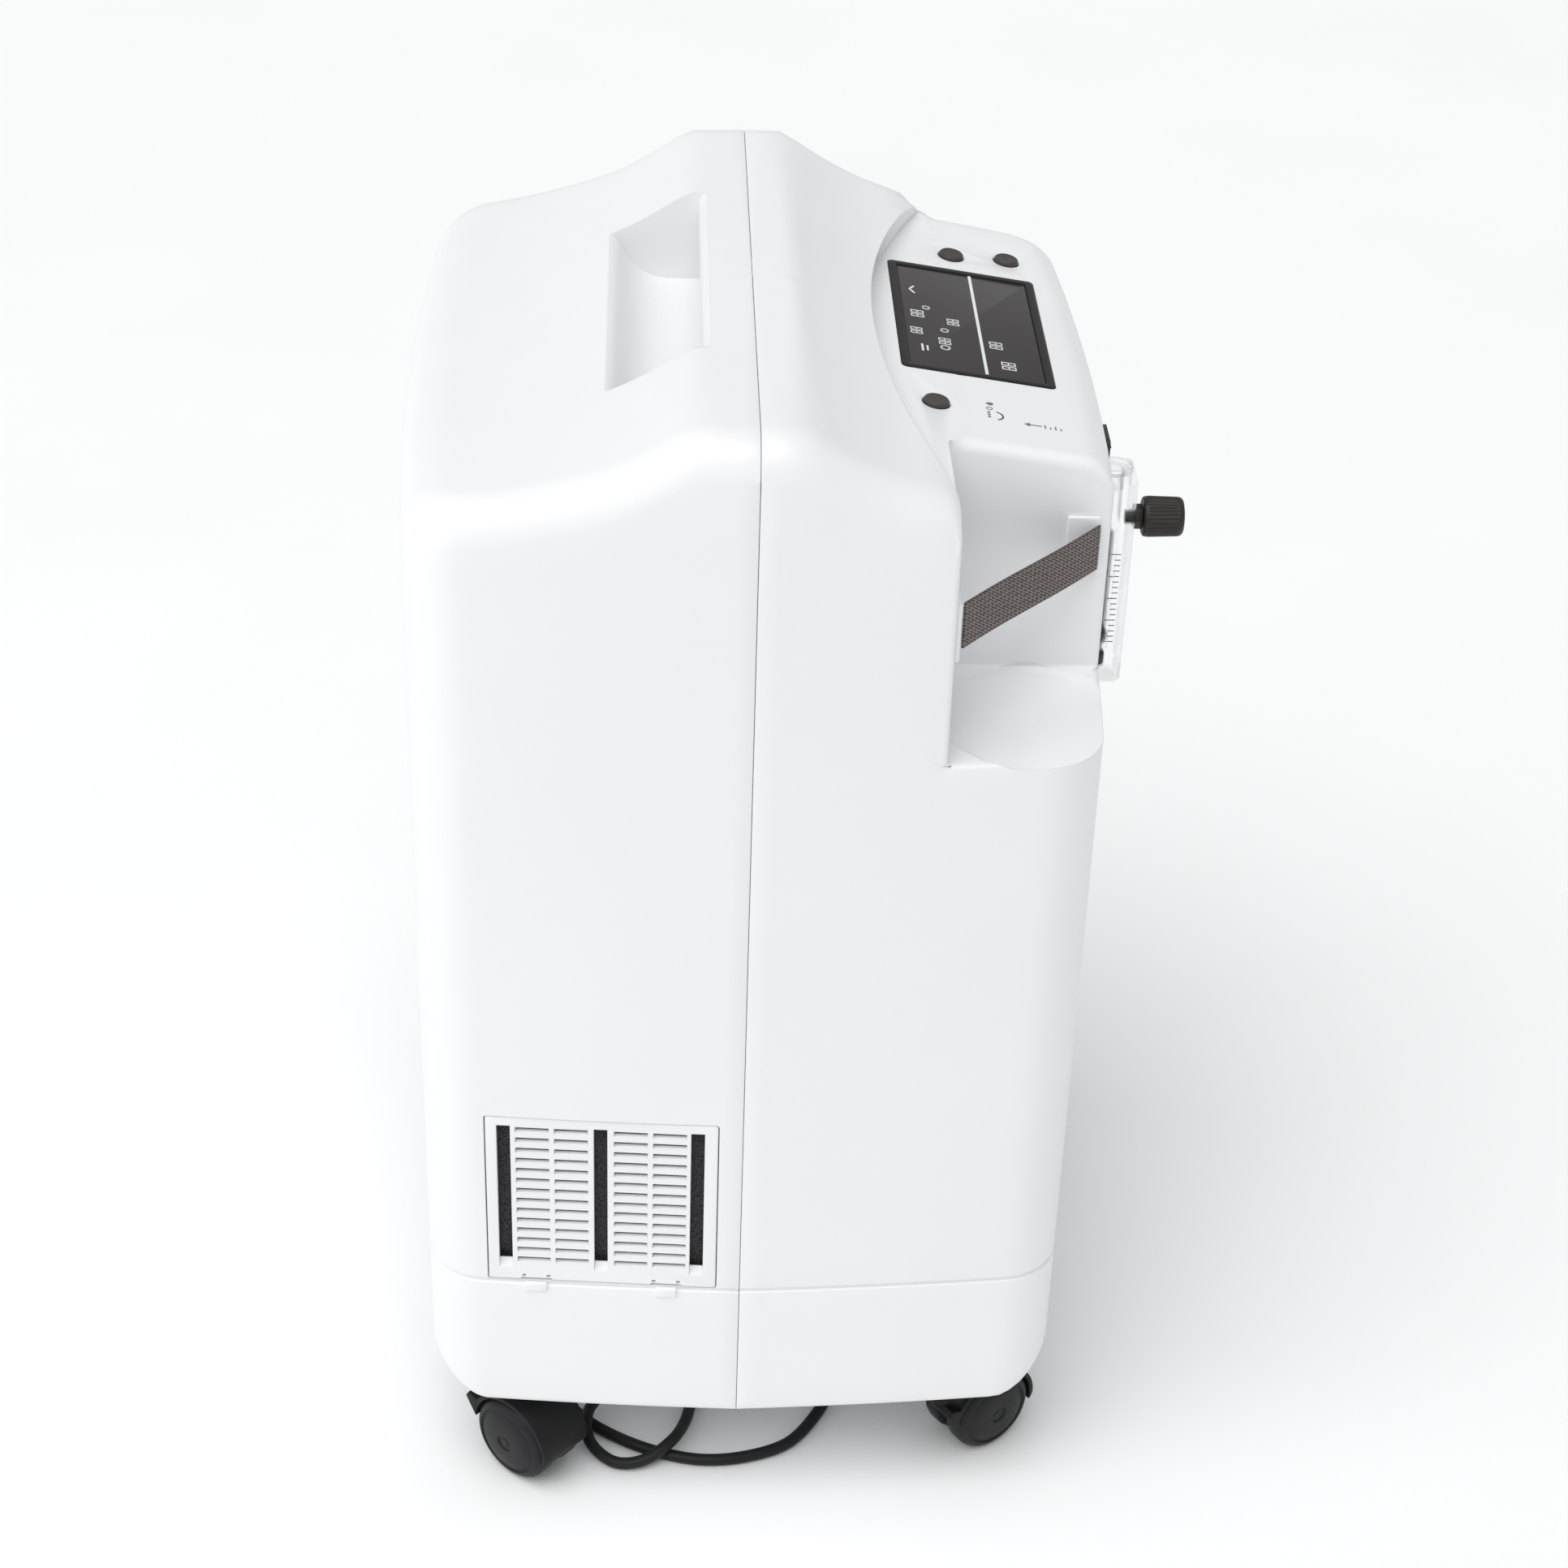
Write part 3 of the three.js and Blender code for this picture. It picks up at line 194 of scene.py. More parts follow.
def moulded(name, light, dark, roughness, grain=0.02, grain_scale=2200, edge=0.0007,
            metallic=0.0, stretch=None, shine=0.5):
    """Moulded or turned stuff: slow colour drift, fine grain, softened edges."""
    material, nodes, links, shader = tree_of(name)
    drift = noise_of(nodes, links, 9, 3)
    links.new(two_tones(nodes, links, drift, dark, light), shader.inputs["Base Color"])
    patches = noise_of(nodes, links, 36, 2)
    gloss = spread(nodes, links, patches, roughness * 0.88, min(1, roughness * 1.12))
    links.new(gloss, shader.inputs["Roughness"])
    dial(shader, {"Metallic": metallic, "Specular IOR Level": shine})
    bump = bump_of(nodes, links, noise_of(nodes, links, grain_scale, 2, stretch), shader, grain, 0.0002)
    if edge:
        rounding = nodes.new("ShaderNodeBevel")
        rounding.samples = 4
        dial(rounding, {"Radius": edge})
        links.new(rounding.outputs["Normal"], bump.inputs["Normal"])
    return material


def clear(name, colour, ior, roughness=0.02, cover=1.0):
    """See-through plastic. A cover below 1 lets part of the light pass unbent."""
    material, nodes, links, shader = tree_of(name)
    dial(shader, {"Base Color": (*colour, 1), "IOR": ior, "Transmission Weight": 1.0, "Alpha": cover})
    haze = spread(nodes, links, noise_of(nodes, links, 60, 3), roughness * 0.6, roughness * 1.6)
    links.new(haze, shader.inputs["Roughness"])
    return material


def woven(name, light, dark):
    """Narrow elastic webbing: ribs across the band and a fine twill in them."""
    material, nodes, links, shader = tree_of(name)

    def added(source, share, base):
        """base + share * source"""
        mix = nodes.new("ShaderNodeMath")
        mix.operation = "MULTIPLY_ADD"
        dial(mix, {1: share})
        links.new(source, mix.inputs[0])
        links.new(base, mix.inputs[2])
        return mix.outputs[0]

    waves = []
    for stretch, scale in (((1, 0, 0), 280), ((0, 0, 1), 215), ((1, 0, 1), 380)):
        wave = nodes.new("ShaderNodeTexWave")
        wave.bands_direction = "DIAGONAL"
        dial(wave, {"Scale": scale, "Distortion": 0.6, "Detail": 1})
        links.new(places_of(nodes, links, stretch), wave.inputs["Vector"])
        waves.append(wave.outputs["Fac"])
    weave = waves[0]
    for other in waves[1:]:
        half = nodes.new("ShaderNodeMath")
        half.operation = "MULTIPLY"
        dial(half, {1: 0.5})
        links.new(other, half.inputs[0])
        weave = added(weave, 0.5, half.outputs[0])
    fuzzed = added(noise_of(nodes, links, 700, 4), 0.55, weave)
    tone = spread(nodes, links, fuzzed, 0, 1, 0.35, 1.1)
    links.new(two_tones(nodes, links, tone, dark, light), shader.inputs["Base Color"])
    dial(shader, {"Roughness": 0.9, "Sheen Weight": 0.35, "Sheen Roughness": 0.4})
    bump_of(nodes, links, weave, shader, 0.7, 0.0004)
    return material


def foamed(name, light, dark):
    """Open-celled foam."""
    material, nodes, links, shader = tree_of(name)
    cells = nodes.new("ShaderNodeTexVoronoi")
    dial(cells, {"Scale": 900})
    links.new(places_of(nodes, links), cells.inputs["Vector"])
    links.new(two_tones(nodes, links, cells.outputs["Distance"], dark, light), shader.inputs["Base Color"])
    dial(shader, {"Roughness": 0.95})
    bump_of(nodes, links, cells.outputs["Distance"], shader, 0.8, 0.0006)
    return material


# Light tone, dark tone, roughness, grain, grain scale, edge radius, metallic, stretch, shine.
MOULDED = {
    "cabinet_white": ((0.885, 0.893, 0.905), (0.868, 0.877, 0.89), 0.36, 0.03, 1500),
    "bezel_black": ((0.014, 0.013, 0.014), (0.01, 0.009, 0.01), 0.3, 0.01, 2200, 0.0007, 0, None, 0.25),
    "display_grey": ((0.052, 0.046, 0.046), (0.036, 0.032, 0.032), 0.16, 0.0, 2200, 0, 0, None, 0.3),
    "button_grey": ((0.07, 0.062, 0.06), (0.048, 0.043, 0.042), 0.5, 0.2, 2200, 0.0007, 0, None, 0.3),
    "switch_black": ((0.03, 0.03, 0.032), (0.02, 0.02, 0.022), 0.4, 0.1),
    "knob_black": ((0.024, 0.021, 0.02), (0.016, 0.014, 0.013), 0.42, 0.12, 2200, 0.0007, 0, None, 0.4),
    "steel": ((0.66, 0.67, 0.68), (0.56, 0.57, 0.58), 0.28, 0.1, 900, 0.0004, 1.0, (1, 1, 14)),
    "brass": ((0.78, 0.6, 0.3), (0.66, 0.48, 0.22), 0.3, 0.1, 900, 0.0004, 1.0),
    "caster_black": ((0.012, 0.012, 0.013), (0.007, 0.007, 0.008), 0.5, 0.25, 1800, 0.0007, 0, None, 0.2),
    "wheel_black": ((0.017, 0.017, 0.019), (0.011, 0.011, 0.012), 0.5, 0.3, 1200, 0.0007, 0, None, 0.25),
    "aluminium": ((0.72, 0.73, 0.74), (0.6, 0.61, 0.62), 0.38, 0.15, 700, 0.001, 1.0),
    "mount_rubber": ((0.035, 0.035, 0.035), (0.022, 0.022, 0.022), 0.75, 0.3),
    "inner_white": ((0.8, 0.8, 0.78), (0.72, 0.72, 0.7), 0.5, 0.1),
    "fan_black": ((0.035, 0.035, 0.038), (0.024, 0.024, 0.026), 0.45, 0.1),
    "copper": ((0.78, 0.4, 0.26), (0.6, 0.27, 0.16), 0.3, 0.1, 900, 0.0004, 1.0),
    "board_green": ((0.03, 0.17, 0.08), (0.02, 0.11, 0.05), 0.35, 0.2, 500),
    "cord_black": ((0.015, 0.015, 0.016), (0.009, 0.009, 0.01), 0.48, 0.15, 1600, 0.0007, 0, None, 0.25),
    "scale_grey": ((0.16, 0.165, 0.175), (0.12, 0.125, 0.135), 0.45, 0.02, 2200, 0),
    "print_white": ((0.86, 0.87, 0.88), (0.8, 0.81, 0.82), 0.4, 0.01, 2200, 0),
    "print_grey": ((0.16, 0.165, 0.175), (0.12, 0.125, 0.13), 0.45, 0.01, 2200, 0),
}
MATERIALS = {name: moulded(name, *row) for name, row in MOULDED.items()}
MATERIALS["acrylic_clear"] = clear("acrylic_clear", (0.95, 0.965, 0.97), 1.18, 0.02, 0.4)
MATERIALS["tube_clear"] = clear("tube_clear", (0.86, 0.9, 0.91), 1.4, 0.2)
MATERIALS["strap_webbing"] = woven("strap_webbing", (0.2, 0.165, 0.155), (0.022, 0.017, 0.016))
MATERIALS["foam_grey"] = foamed("foam_grey", (0.03, 0.029, 0.031), (0.085, 0.08, 0.085))
for entry in frame["record"]["subparts"]:
    node = frame["nodes"][entry["node"]]
    node.data.materials.clear()
    node.data.materials.append(MATERIALS[entry["material_slot"]])


# ------------------------------------------------------------------ mesh tools
def link(mesh, name):
    obj = bpy.data.objects.new(name, mesh)
    bpy.context.scene.collection.objects.link(obj)
    return obj


def mesh_of(name, points, faces, moved=True):
    """A mesh of the points, taken from the cabinet's millimetres to the frame if moved."""
    mesh = bpy.data.meshes.new(name)
    mesh.from_pydata([metres(*p) if moved else p for p in points], [], faces)
    mesh.update()
    work = bmesh.new()
    work.from_mesh(mesh)
    bmesh.ops.recalc_face_normals(work, faces=work.faces)
    work.to_mesh(mesh)
    work.free()
    return mesh


def piece(name, mesh, body, slot, material=None, smooth=30, stands_for=()):
    """Finishes a mesh as a piece that rides on a body."""
    obj = link(mesh, name) if isinstance(mesh, bpy.types.Mesh) else mesh
    obj.name = name
    obj.data.materials.clear()
    obj.data.materials.append(MATERIALS[material or slot])
    if smooth and obj.type == "MESH":
        obj.data.shade_smooth()
        obj.data.set_sharp_from_angle(angle=math.radians(smooth))
    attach(obj, body)
    if stands_for:
        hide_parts(*stands_for)
    return obj


def baked(obj):
    """Applies an object's modifiers."""
    graph = bpy.context.evaluated_depsgraph_get()
    mesh = bpy.data.meshes.new_from_object(obj.evaluated_get(graph))
    obj.modifiers.clear()
    obj.data = mesh
    return obj


def cut(obj, tools, operation="DIFFERENCE"):
    """Cuts an object by meshes, one after the other."""
    for index, tool in enumerate(tools):
        blade = link(tool, f"cutter_{index}")
        modifier = obj.modifiers.new("cut", "BOOLEAN")
        modifier.operation = operation
        modifier.solver = "MANIFOLD"
        modifier.object = blade
        baked(obj)
        bpy.data.objects.remove(blade)
        if len(obj.data.polygons) < 4:
            raise RuntimeError(f"{obj.name}: cut {index} left nothing")
    return obj


def softened(obj, width, segments=2, angle=35):
    """Bevels the edges sharper than an angle. The width is in millimetres."""
    modifier = obj.modifiers.new("soften", "BEVEL")
    modifier.width = width * MM
    modifier.segments = segments
    modifier.limit_method = "ANGLE"
    modifier.angle_limit = math.radians(angle)
    modifier.miter_outer = "MITER_ARC"
    return baked(obj)


def solid(rings):
    """Points and faces of a closed skin through rings of equal length."""
    count = len(rings[0])
    points = [p for ring in rings for p in ring]
    faces = []
    for r in range(len(rings) - 1):
        for i in range(count):
            a, b = r * count + i, r * count + (i + 1) % count
            faces.append((a, b, b + count, a + count))
    faces.append(tuple(reversed(range(count))))
    faces.append(tuple(range(len(points) - count, len(points))))
    return points, faces


def prism(outline, low, high, axis="z"):
    """A flat outline raised along one axis. Its two numbers are the other two axes in order."""
    put = {
        "x": lambda a, b, c: (c, a, b),
        "y": lambda a, b, c: (a, c, b),
        "z": lambda a, b, c: (a, b, c),
    }[axis]
    return solid([[put(a, b, c) for a, b in outline] for c in (low, high)])


def turned(profile, segments=48):
    """A profile of (radius, height) pairs turned about z. It starts and ends on the axis."""
    rings = []
    for radius, height in profile:
        ring = []
        for i in range(segments):
            angle = 2 * math.pi * i / segments
            ring.append((radius * math.cos(angle), radius * math.sin(angle), height))
        rings.append(ring)
    return solid(rings)


def rounded(width, height, radius, steps=6, x=0.0, y=0.0):
    """Outline of a rectangle with round corners about (x, y)."""
    outline = []
    for quarter, (sx, sy) in enumerate(((1, 1), (-1, 1), (-1, -1), (1, -1))):
        for i in range(steps + 1):
            angle = math.pi / 2 * (quarter + i / steps)
            outline.append((
                x + sx * (width / 2 - radius) + radius * math.cos(angle),
                y + sy * (height / 2 - radius) + radius * math.sin(angle),
            ))
    return outline


def moved(shape, matrix):
    points, faces = shape
    return [tuple(matrix @ Vector(p)) for p in points], faces


def shifted(shape, x, y, z):
    return moved(shape, Matrix.Translation((x, y, z)))


def box(low, high):
    (a, b, c), (d, e, f) = low, high
    return prism([(a, b), (d, b), (d, e), (a, e)], c, f)


def cutter(shape):
    return mesh_of("cutter", *shape)


ON_CONSOLE = Matrix.Rotation(CONSOLE_TILT, 4, "X")


def gathered(shapes):
    """Several shapes as one."""
    points, faces = [], []
    for more_points, more_faces in shapes:
        faces += [tuple(i + len(points) for i in face) for face in more_faces]
        points += more_points
    return points, faces


def on_console(shape, x, y):
    """Lays a shape made about z = 0 on the console at (x, y)."""
    place = Matrix.Translation((x, y, console_z(y))) @ ON_CONSOLE
    return moved(shape, place)


TO_FRONT = Matrix.Rotation(math.pi / 2, 4, "X")
TO_REAR = Matrix.Rotation(-math.pi / 2, 4, "X")


# ------------------------------------------------------------------ mains cord
def smooth_route(points, per):
    """Centripetal Catmull-Rom through the points, as the CAD route has."""
    line = [Vector(p) for p in points]
    line = [2 * line[0] - line[1], *line, 2 * line[-1] - line[-2]]
    out = []
    for i in range(1, len(line) - 2):
        p = line[i - 1:i + 3]
        times = [0.0]
        for a, b in zip(p, p[1:]):
            times.append(times[-1] + max((b - a).length, 1e-6) ** 0.5)
        for k in range(per):
            t = times[1] + (times[2] - times[1]) * k / per

            def mixed(a, b, i, j):
                return ((times[j] - t) * a + (t - times[i]) * b) / (times[j] - times[i])

            first = [mixed(p[j], p[j + 1], j, j + 1) for j in range(3)]
            second = [mixed(first[j], first[j + 1], j, j + 2) for j in range(2)]
            out.append(mixed(*second, 1, 2))
    return out + [line[-2]]


LIE = CORD_RADIUS + 0.1  # the cord's axis where it lies on the floor
HOP = 3 * CORD_RADIUS + 1.1  # and where it crosses over itself
STACKED = LIE + 6.9  # and on the coil's upper level
GLAND = (118.0, -58.0, 52.0)
REACH = 26 * math.sqrt(0.5)
EXIT = (GLAND[0] - REACH - 0.3, GLAND[1], GLAND[2] - REACH - 0.3)
CORD_ROUTE = [
    EXIT, (EXIT[0] - 12.7, -58, EXIT[2] - 12.7), (69.6, -59, LIE + 6), (44, -61, LIE + 0.6),
    (20, -64, LIE), (-25, -68, LIE), (-70, -66, LIE), (-105, -58, LIE), (-132, -46, LIE),
    (-152, -30, LIE), (-162, -6, LIE), (-164, 18, LIE), (-158, 42, LIE), (-147, 64, LIE),
    (-131, 84, LIE), (-108, 99, LIE), (-82, 103, LIE), (-58, 92, LIE), (-48, 70, LIE),
    (-58, 48, LIE), (-80, 42, LIE + 0.5), (-100, 54, LIE + 2.5), (-116, 70, HOP - 0.6),
    (-134, 81, HOP), (-152, 80, LIE + 3), (-166, 66, LIE + 0.4), (-167, 50, LIE + 2.6),
    (-158, 35, HOP), (-140, 27, LIE + 4.4), (-116, 22, LIE + 0.6), (-85, 12, LIE),
    (-50, 0, LIE), (-15, -6, LIE), (20, -7.2, LIE), (40, -8.4, LIE),
]


def coil_points():
    """Four turns, two beside each other on two levels, entered from the front."""
    points = []
    per_turn = 24
    outer, inner = 40.3, 33.5
    for i in range(4 * per_turn + 5):
        turns = i / per_turn
        radius = float(np.interp(turns, [0.8, 1.1, 2.8, 3.1], [outer, inner, inner, outer]))
        height = float(np.interp(turns, [1.85, 2.15], [LIE, STACKED]))
        angle = -math.pi / 2 + 2 * math.pi * turns
        points.append((
            COIL_CENTRE[0] + radius * math.cos(angle),
            COIL_CENTRE[1] + radius * math.sin(angle),
            height,
        ))
    return points


# ------------------------------------------------------------------ cabinet surfaces
TOP_LINE = [
    (-180, 0), (-110, 0), (-99, 0), (-94, 608), (-89, 614.5), (-82, 618.5), (-66, 624), (-48, 632.5),
    (-32, 642), (-18, 650), (0, 650), (27, 650), (36, 646), (50, 637), (68, 627.5), (94, 619),
    (120, 613), (148, 609), (165, 607), (185, 605),
]
TOP_Y = np.array([y for y, _ in TOP_LINE], float)
TOP_Z = np.array([z or console_z(y) for y, z in TOP_LINE], float)


def monotone(x, xs, ys):
    """Cubic interpolation that never overshoots its points."""
    h, delta = np.diff(xs), np.diff(ys) / np.diff(xs)
    slope = np.zeros_like(ys)
    same = delta[:-1] * delta[1:] > 0
    w1, w2 = 2 * h[1:] + h[:-1], h[1:] + 2 * h[:-1]
    safe = np.where(same, delta[:-1], 1), np.where(same, delta[1:], 1)
    slope[1:-1] = np.where(same, (w1 + w2) / (w1 / safe[0] + w2 / safe[1]), 0)
    slope[0], slope[-1] = delta[0], delta[-1]
    i = np.clip(np.searchsorted(xs, x) - 1, 0, len(xs) - 2)
    t = (x - xs[i]) / h[i]
    return (
        ys[i] * (1 + 2 * t) * (1 - t) ** 2 + slope[i] * h[i] * t * (1 - t) ** 2
        + ys[i + 1] * t * t * (3 - 2 * t) + slope[i + 1] * h[i] * t * t * (t - 1)
    )


def quarter(depth, inset, side_steps, arc_steps, face_steps):
    """Plan outline from the seam to the middle of a face, x and y both positive."""
    radius = CORNER_RADIUS - inset
    start, end = 0.105, math.pi / 2 - 0.08
    centre_y = depth - inset - FACE_BOW - radius * math.sin(end)
    centre_x = CORNER_HALF_WIDTH - inset - radius * math.cos(start)
    side_end = centre_y + radius * math.sin(start)
    points = []
    for i in range(side_steps):
        t = i / side_steps
        taper = (HALF_WIDTH - CORNER_HALF_WIDTH) * (0.55 * t + 0.45 * t * t)
        points.append((HALF_WIDTH - inset - taper, side_end * t))
    for i in range(arc_steps + 1):
        angle = start + (end - start) * i / arc_steps
        points.append((centre_x + radius * math.cos(angle), centre_y + radius * math.sin(angle)))
    face_end = points[-1][0]
    for i in range(1, face_steps + 1):
        share = 1 - i / face_steps
        points.append((face_end * share, depth - inset - FACE_BOW * share * share))
    return np.array(points)


def along(line, distances):
    """Points at given distances along a polyline."""
    steps = np.hypot(*np.diff(line, axis=0).T)
    total = np.concatenate([[0], np.cumsum(steps)])
    return np.stack([np.interp(distances, total, line[:, k]) for k in (0, 1)], 1)


def arc(cx, cy, radius, start, end, steps):
    """Points on an arc, its angles in degrees."""
    angles = np.radians(np.linspace(start, end, steps + 1))
    return np.stack([cx + radius * np.cos(angles), cy + radius * np.sin(angles)], 1)


def nearest(points, line):
    """Distance of each point from a polyline, and how far the line runs along x there, 0 to 1."""
    a, b = line[:-1], line[1:]
    run = b - a
    length = np.maximum((run ** 2).sum(1), 1e-12)
    to = points[:, None, :] - a[None]
    t = np.clip((to * run[None]).sum(2) / length[None], 0, 1)
    gap = to - t[..., None] * run[None]
    distance = np.sqrt((gap ** 2).sum(2))
    index = distance.argmin(1)
    share = np.abs(run[index, 0]) / np.sqrt(length[index])
    return distance[np.arange(len(points)), index], share


def fall(distance, radius):
    """How far a rounded edge of that radius lies below its plane, at a distance from its rim."""
    inner = np.clip(radius - distance, 0, radius)
    return radius - np.sqrt(np.maximum(radius ** 2 - inner ** 2, 0))


class HalfShell:
    """One half of the cabinet as a closed skin of rings, from the underside up and over the top.

    side is +1 for the rear half and -1 for the front half, which has the humidifier bay. The
    inset, coarse version is the room inside the walls."""

    def __init__(self, side, inset=0.0):
        self.side, self.inset, self.fine = side, inset, not inset
        depth = REAR_DEPTH if side > 0 else FRONT_DEPTH
        self.whole = quarter(depth, inset, 120, 60, 120) * (1, side)
        self.outline = np.concatenate([self.whole * (-1, 1), self.whole[-2::-1]])
        counts = (14, 14, 12) if self.fine else (8, 6, 5)
        spaced = quarter(depth, inset, *counts) * (1, side)
        left, right = spaced * (-1, 1), spaced[-2::-1]
        # low is the outline below the bay and high the one above it, column for column
        self.low = np.concatenate([left, right])
        self.high = self.low
        self.bay = np.zeros(len(self.low))
        self.bay_walls = None
        if side < 0:
            self.add_bay(left, right, 6.0 if inset else 0.0)
        # the outer columns lie on the parting plane: how far from it, and how far they draw in
        self.rim = [(0.12, 0.45), (0.25, 0.15), (0.6, 0.0)] if self.fine else [(-2.0, 0.0)]
        self.extra = len(self.rim)
        none = np.zeros(self.extra)
        self.bay = np.concatenate([none, self.bay[1:-1], none])
        first = np.array([[-(HALF_WIDTH - inset - drawn), side * y] for y, drawn in self.rim])
        last = (first * (-1, 1))[::-1]
        self.low = np.concatenate([first, self.low[1:-1], last])
        self.high = np.concatenate([first, self.high[1:-1], last])

    def add_bay(self, left, right, grow):
        """Cuts the corner out of the high outline, with as many columns in the low one."""
        nx, ny = NOTCH[0] + grow, NOTCH[1] + grow
        lip, inner = (2.5, 3.0) if not grow else (1.0, 1.0)
        line = self.whole * (-1, 1)
        total = np.concatenate([[0], np.cumsum(np.hypot(*np.diff(line, axis=0).T))])
        start = float(np.interp(-(ny + lip), -line[:, 1], total))
        end = float(np.interp(nx + lip, line[:, 0], total))
        (x0, y0), (x1, y1) = along(line, [start, end])
        steps = 5 if self.fine else 2
        wall = 18 if self.fine else 3
        ease = np.linspace(0, 1, wall + 1)[1:-1, None]
        rear_wall = [x0 + lip, ny] + (ease ** 1.6) * ([nx - inner - x0 - lip, 0])
        side_wall = [nx, ny - inner] + ease * [0, (y1 + lip) - (ny - inner)]
        path = np.concatenate([
            arc(x0 + lip, y0, lip, 180, 270, steps),
            rear_wall,
            arc(nx - inner, ny - inner, inner, 90, 0, steps),
            side_wall,
            arc(x1, y1 + lip, lip, 180, 270, steps),
        ])
        run = np.concatenate([[0], np.cumsum(np.hypot(*np.diff(path, axis=0).T))])
        on_line = along(line, start + (end - start) * run / run[-1])
        before = left[(-left[:, 1] < -y0 - 4)]
        after = np.concatenate([left[left[:, 0] > x1 + 6], right])
        self.low = np.concatenate([before, on_line, after])
        self.high = np.concatenate([before, path, after])
        index = np.arange(len(path))
        ramp = np.clip(np.minimum(index, index[::-1]) / 4, 1e-3, 1)
        self.bay = np.concatenate([np.zeros(len(before)), ramp, np.zeros(len(after))])
        self.bay_walls = path

    def top(self, points):
        """Height of the top over the points, with its rounded edges."""
        distance, share = nearest(points, self.outline)
        level = monotone(points[:, 1], TOP_Y, TOP_Z) - self.inset
        face_edge, side_edge = 22.0 if self.side > 0 else 16.0, 20.0
        radius = side_edge + (face_edge - side_edge) * share ** 2 - self.inset
        height = level - fall(distance, radius)
        if self.bay_walls is not None and self.fine:
            gap, across = nearest(points, self.bay_walls)
            height -= fall(gap, np.where(across > 0.7, 1.6, 6.0))
        return height

    def underside(self, points):
        distance, share = nearest(points, self.outline)
        radius = 6 + 24 * share ** 1.5 - self.inset
        return BASE_Z + self.inset + fall(distance, np.maximum(radius, 1))

    def scaled(self, line, t):
        """Draws the outline in towards the middle of the seam. The rim columns keep their y."""
        keep = self.rim[-1][0] * self.side
        out = line.copy()
        out[:, 0] *= t
        out[:, 1] = keep + (line[:, 1] - keep) * t
        for k in range(self.extra):
            out[k, 1], out[-1 - k, 1] = line[k, 1], line[-1 - k, 1]
        return out

    def lowered(self, sign):
        """The chamfer of the rim columns, across horizontal surfaces."""
        drop = np.zeros(len(self.low))
        for k, (_, drawn) in enumerate(self.rim):
            drop[k] = drop[-1 - k] = drawn
        return sign * drop

    def build(self):
        arcs = 9 if self.fine else 3
        step = 0.026 if self.fine else 0.06
        shrink = [1 - 20 / HALF_WIDTH * (1 - math.cos(math.pi / 2 * k / arcs)) for k in range(arcs + 1)]
        while shrink[-1] - step > 0.05:
            shrink.append(shrink[-1] - step)
        rings = []

        def add(flat, z):
            rings.append(np.column_stack([flat, np.broadcast_to(z, len(flat)).astype(float)]))

        for t in reversed(shrink):
            flat = self.scaled(self.low, t)
            add(flat, self.underside(flat) + self.lowered(1))
        start = self.underside(self.low)
        for share in (0.3, 0.65, 1.0) if self.fine else (1.0,):
            add(self.low, start + (120 - start) * share)
        normals = self.normals()
        groove = [(149.6, 0), (150.9, 0.12), (151.4, 0.8), (151.9, 1.2), (153.1, 1.2), (153.6, 0.8),
                  (154.1, 0.12), (155.4, 0)]
        plain = (175, 205, 235, 265, 300, 335, 370, 405, 440, 466) if self.fine else (200, 300, 400)
        for z, depth in [(140, 0), *groove] * self.fine + [(z, 0) for z in plain]:
            add(self.low - normals * depth, z)
        if self.side < 0:
            rings += self.shelf_rings(normals, SHELF_Z - (0 if self.fine else 6))
        else:
            for z in (480, 500)[:1 + self.fine]:
                add(self.low, z)
        for z in (520, 545)[:1 + self.fine]:
            add(self.high, z)
        crown = self.top(self.high)
        for share in (0.35, 0.7) if self.fine else ():
            add(self.high, 545 + (crown - 545) * share)
        for t in shrink:
            flat = self.scaled(self.high, t)
            add(flat, self.top(flat) + self.lowered(-1))
        return self.close(rings)

    def normals(self):
        """Outward directions of the low outline's columns."""
        direction = np.gradient(self.low, axis=0)
        direction /= np.maximum(np.hypot(*direction.T), 1e-9)[:, None]
        outward = np.stack([direction[:, 1], -direction[:, 0]], 1)
        outward *= np.sign((outward * self.low).sum(1))[:, None]
        outward[:self.extra] = (-1, 0)
        outward[-self.extra:] = (1, 0)
        return outward

    def shelf_rings(self, normals, shelf):
        """Rings that turn the full outline below the bay into the cut outline above it."""
        inside = self.bay > 0
        ramp = np.clip(self.bay, 0, 1)
        lip, cove = (2.5, 2.0) if self.fine else (0.5, 0.5)
        toward = -np.stack([np.gradient(self.high[:, 1]), -np.gradient(self.high[:, 0])], 1)
        toward /= np.maximum(np.hypot(*toward.T), 1e-9)[:, None]
        bay_middle = np.array(NOTCH) - 40
        toward *= np.sign(((bay_middle - self.high) * toward).sum(1))[:, None]
        angles = np.radians([0, 22, 45, 67, 90] if self.fine else [0, 90])
        level = np.linspace(shelf - lip, shelf + cove + 8, 2 * len(angles) + 1)
        rows = [
            (self.low, -normals * lip * (1 - math.cos(a)), shelf - lip + lip * math.sin(a)) for a in angles
        ] + [
            (self.high, toward * cove * (1 - math.sin(a)), shelf + cove * (1 - math.cos(a))) for a in angles
        ]
        rings = []
        for (line, offset, z), beside in zip(rows, level):
            flat = np.where(inside[:, None], line + offset * ramp[:, None], line)
            rings.append(np.column_stack([flat, np.where(inside, z, beside)]))
        return rings

    def close(self, rings):
        """Joins the rings, caps both poles and fills the parting plane."""
        count = len(self.low)
        points = np.concatenate(rings)
        faces = []
        for r in range(len(rings) - 1):
            for i in range(count - 1):
                a = r * count + i
                faces.append((a, a + 1, a + 1 + count, a + count))
        starts = range(0, len(points), count)
        faces += [tuple(range(r, r + count)) for r in (starts[0], starts[-1])]
        faces.append((*starts, *(r + count - 1 for r in reversed(starts))))
        return points.tolist(), faces


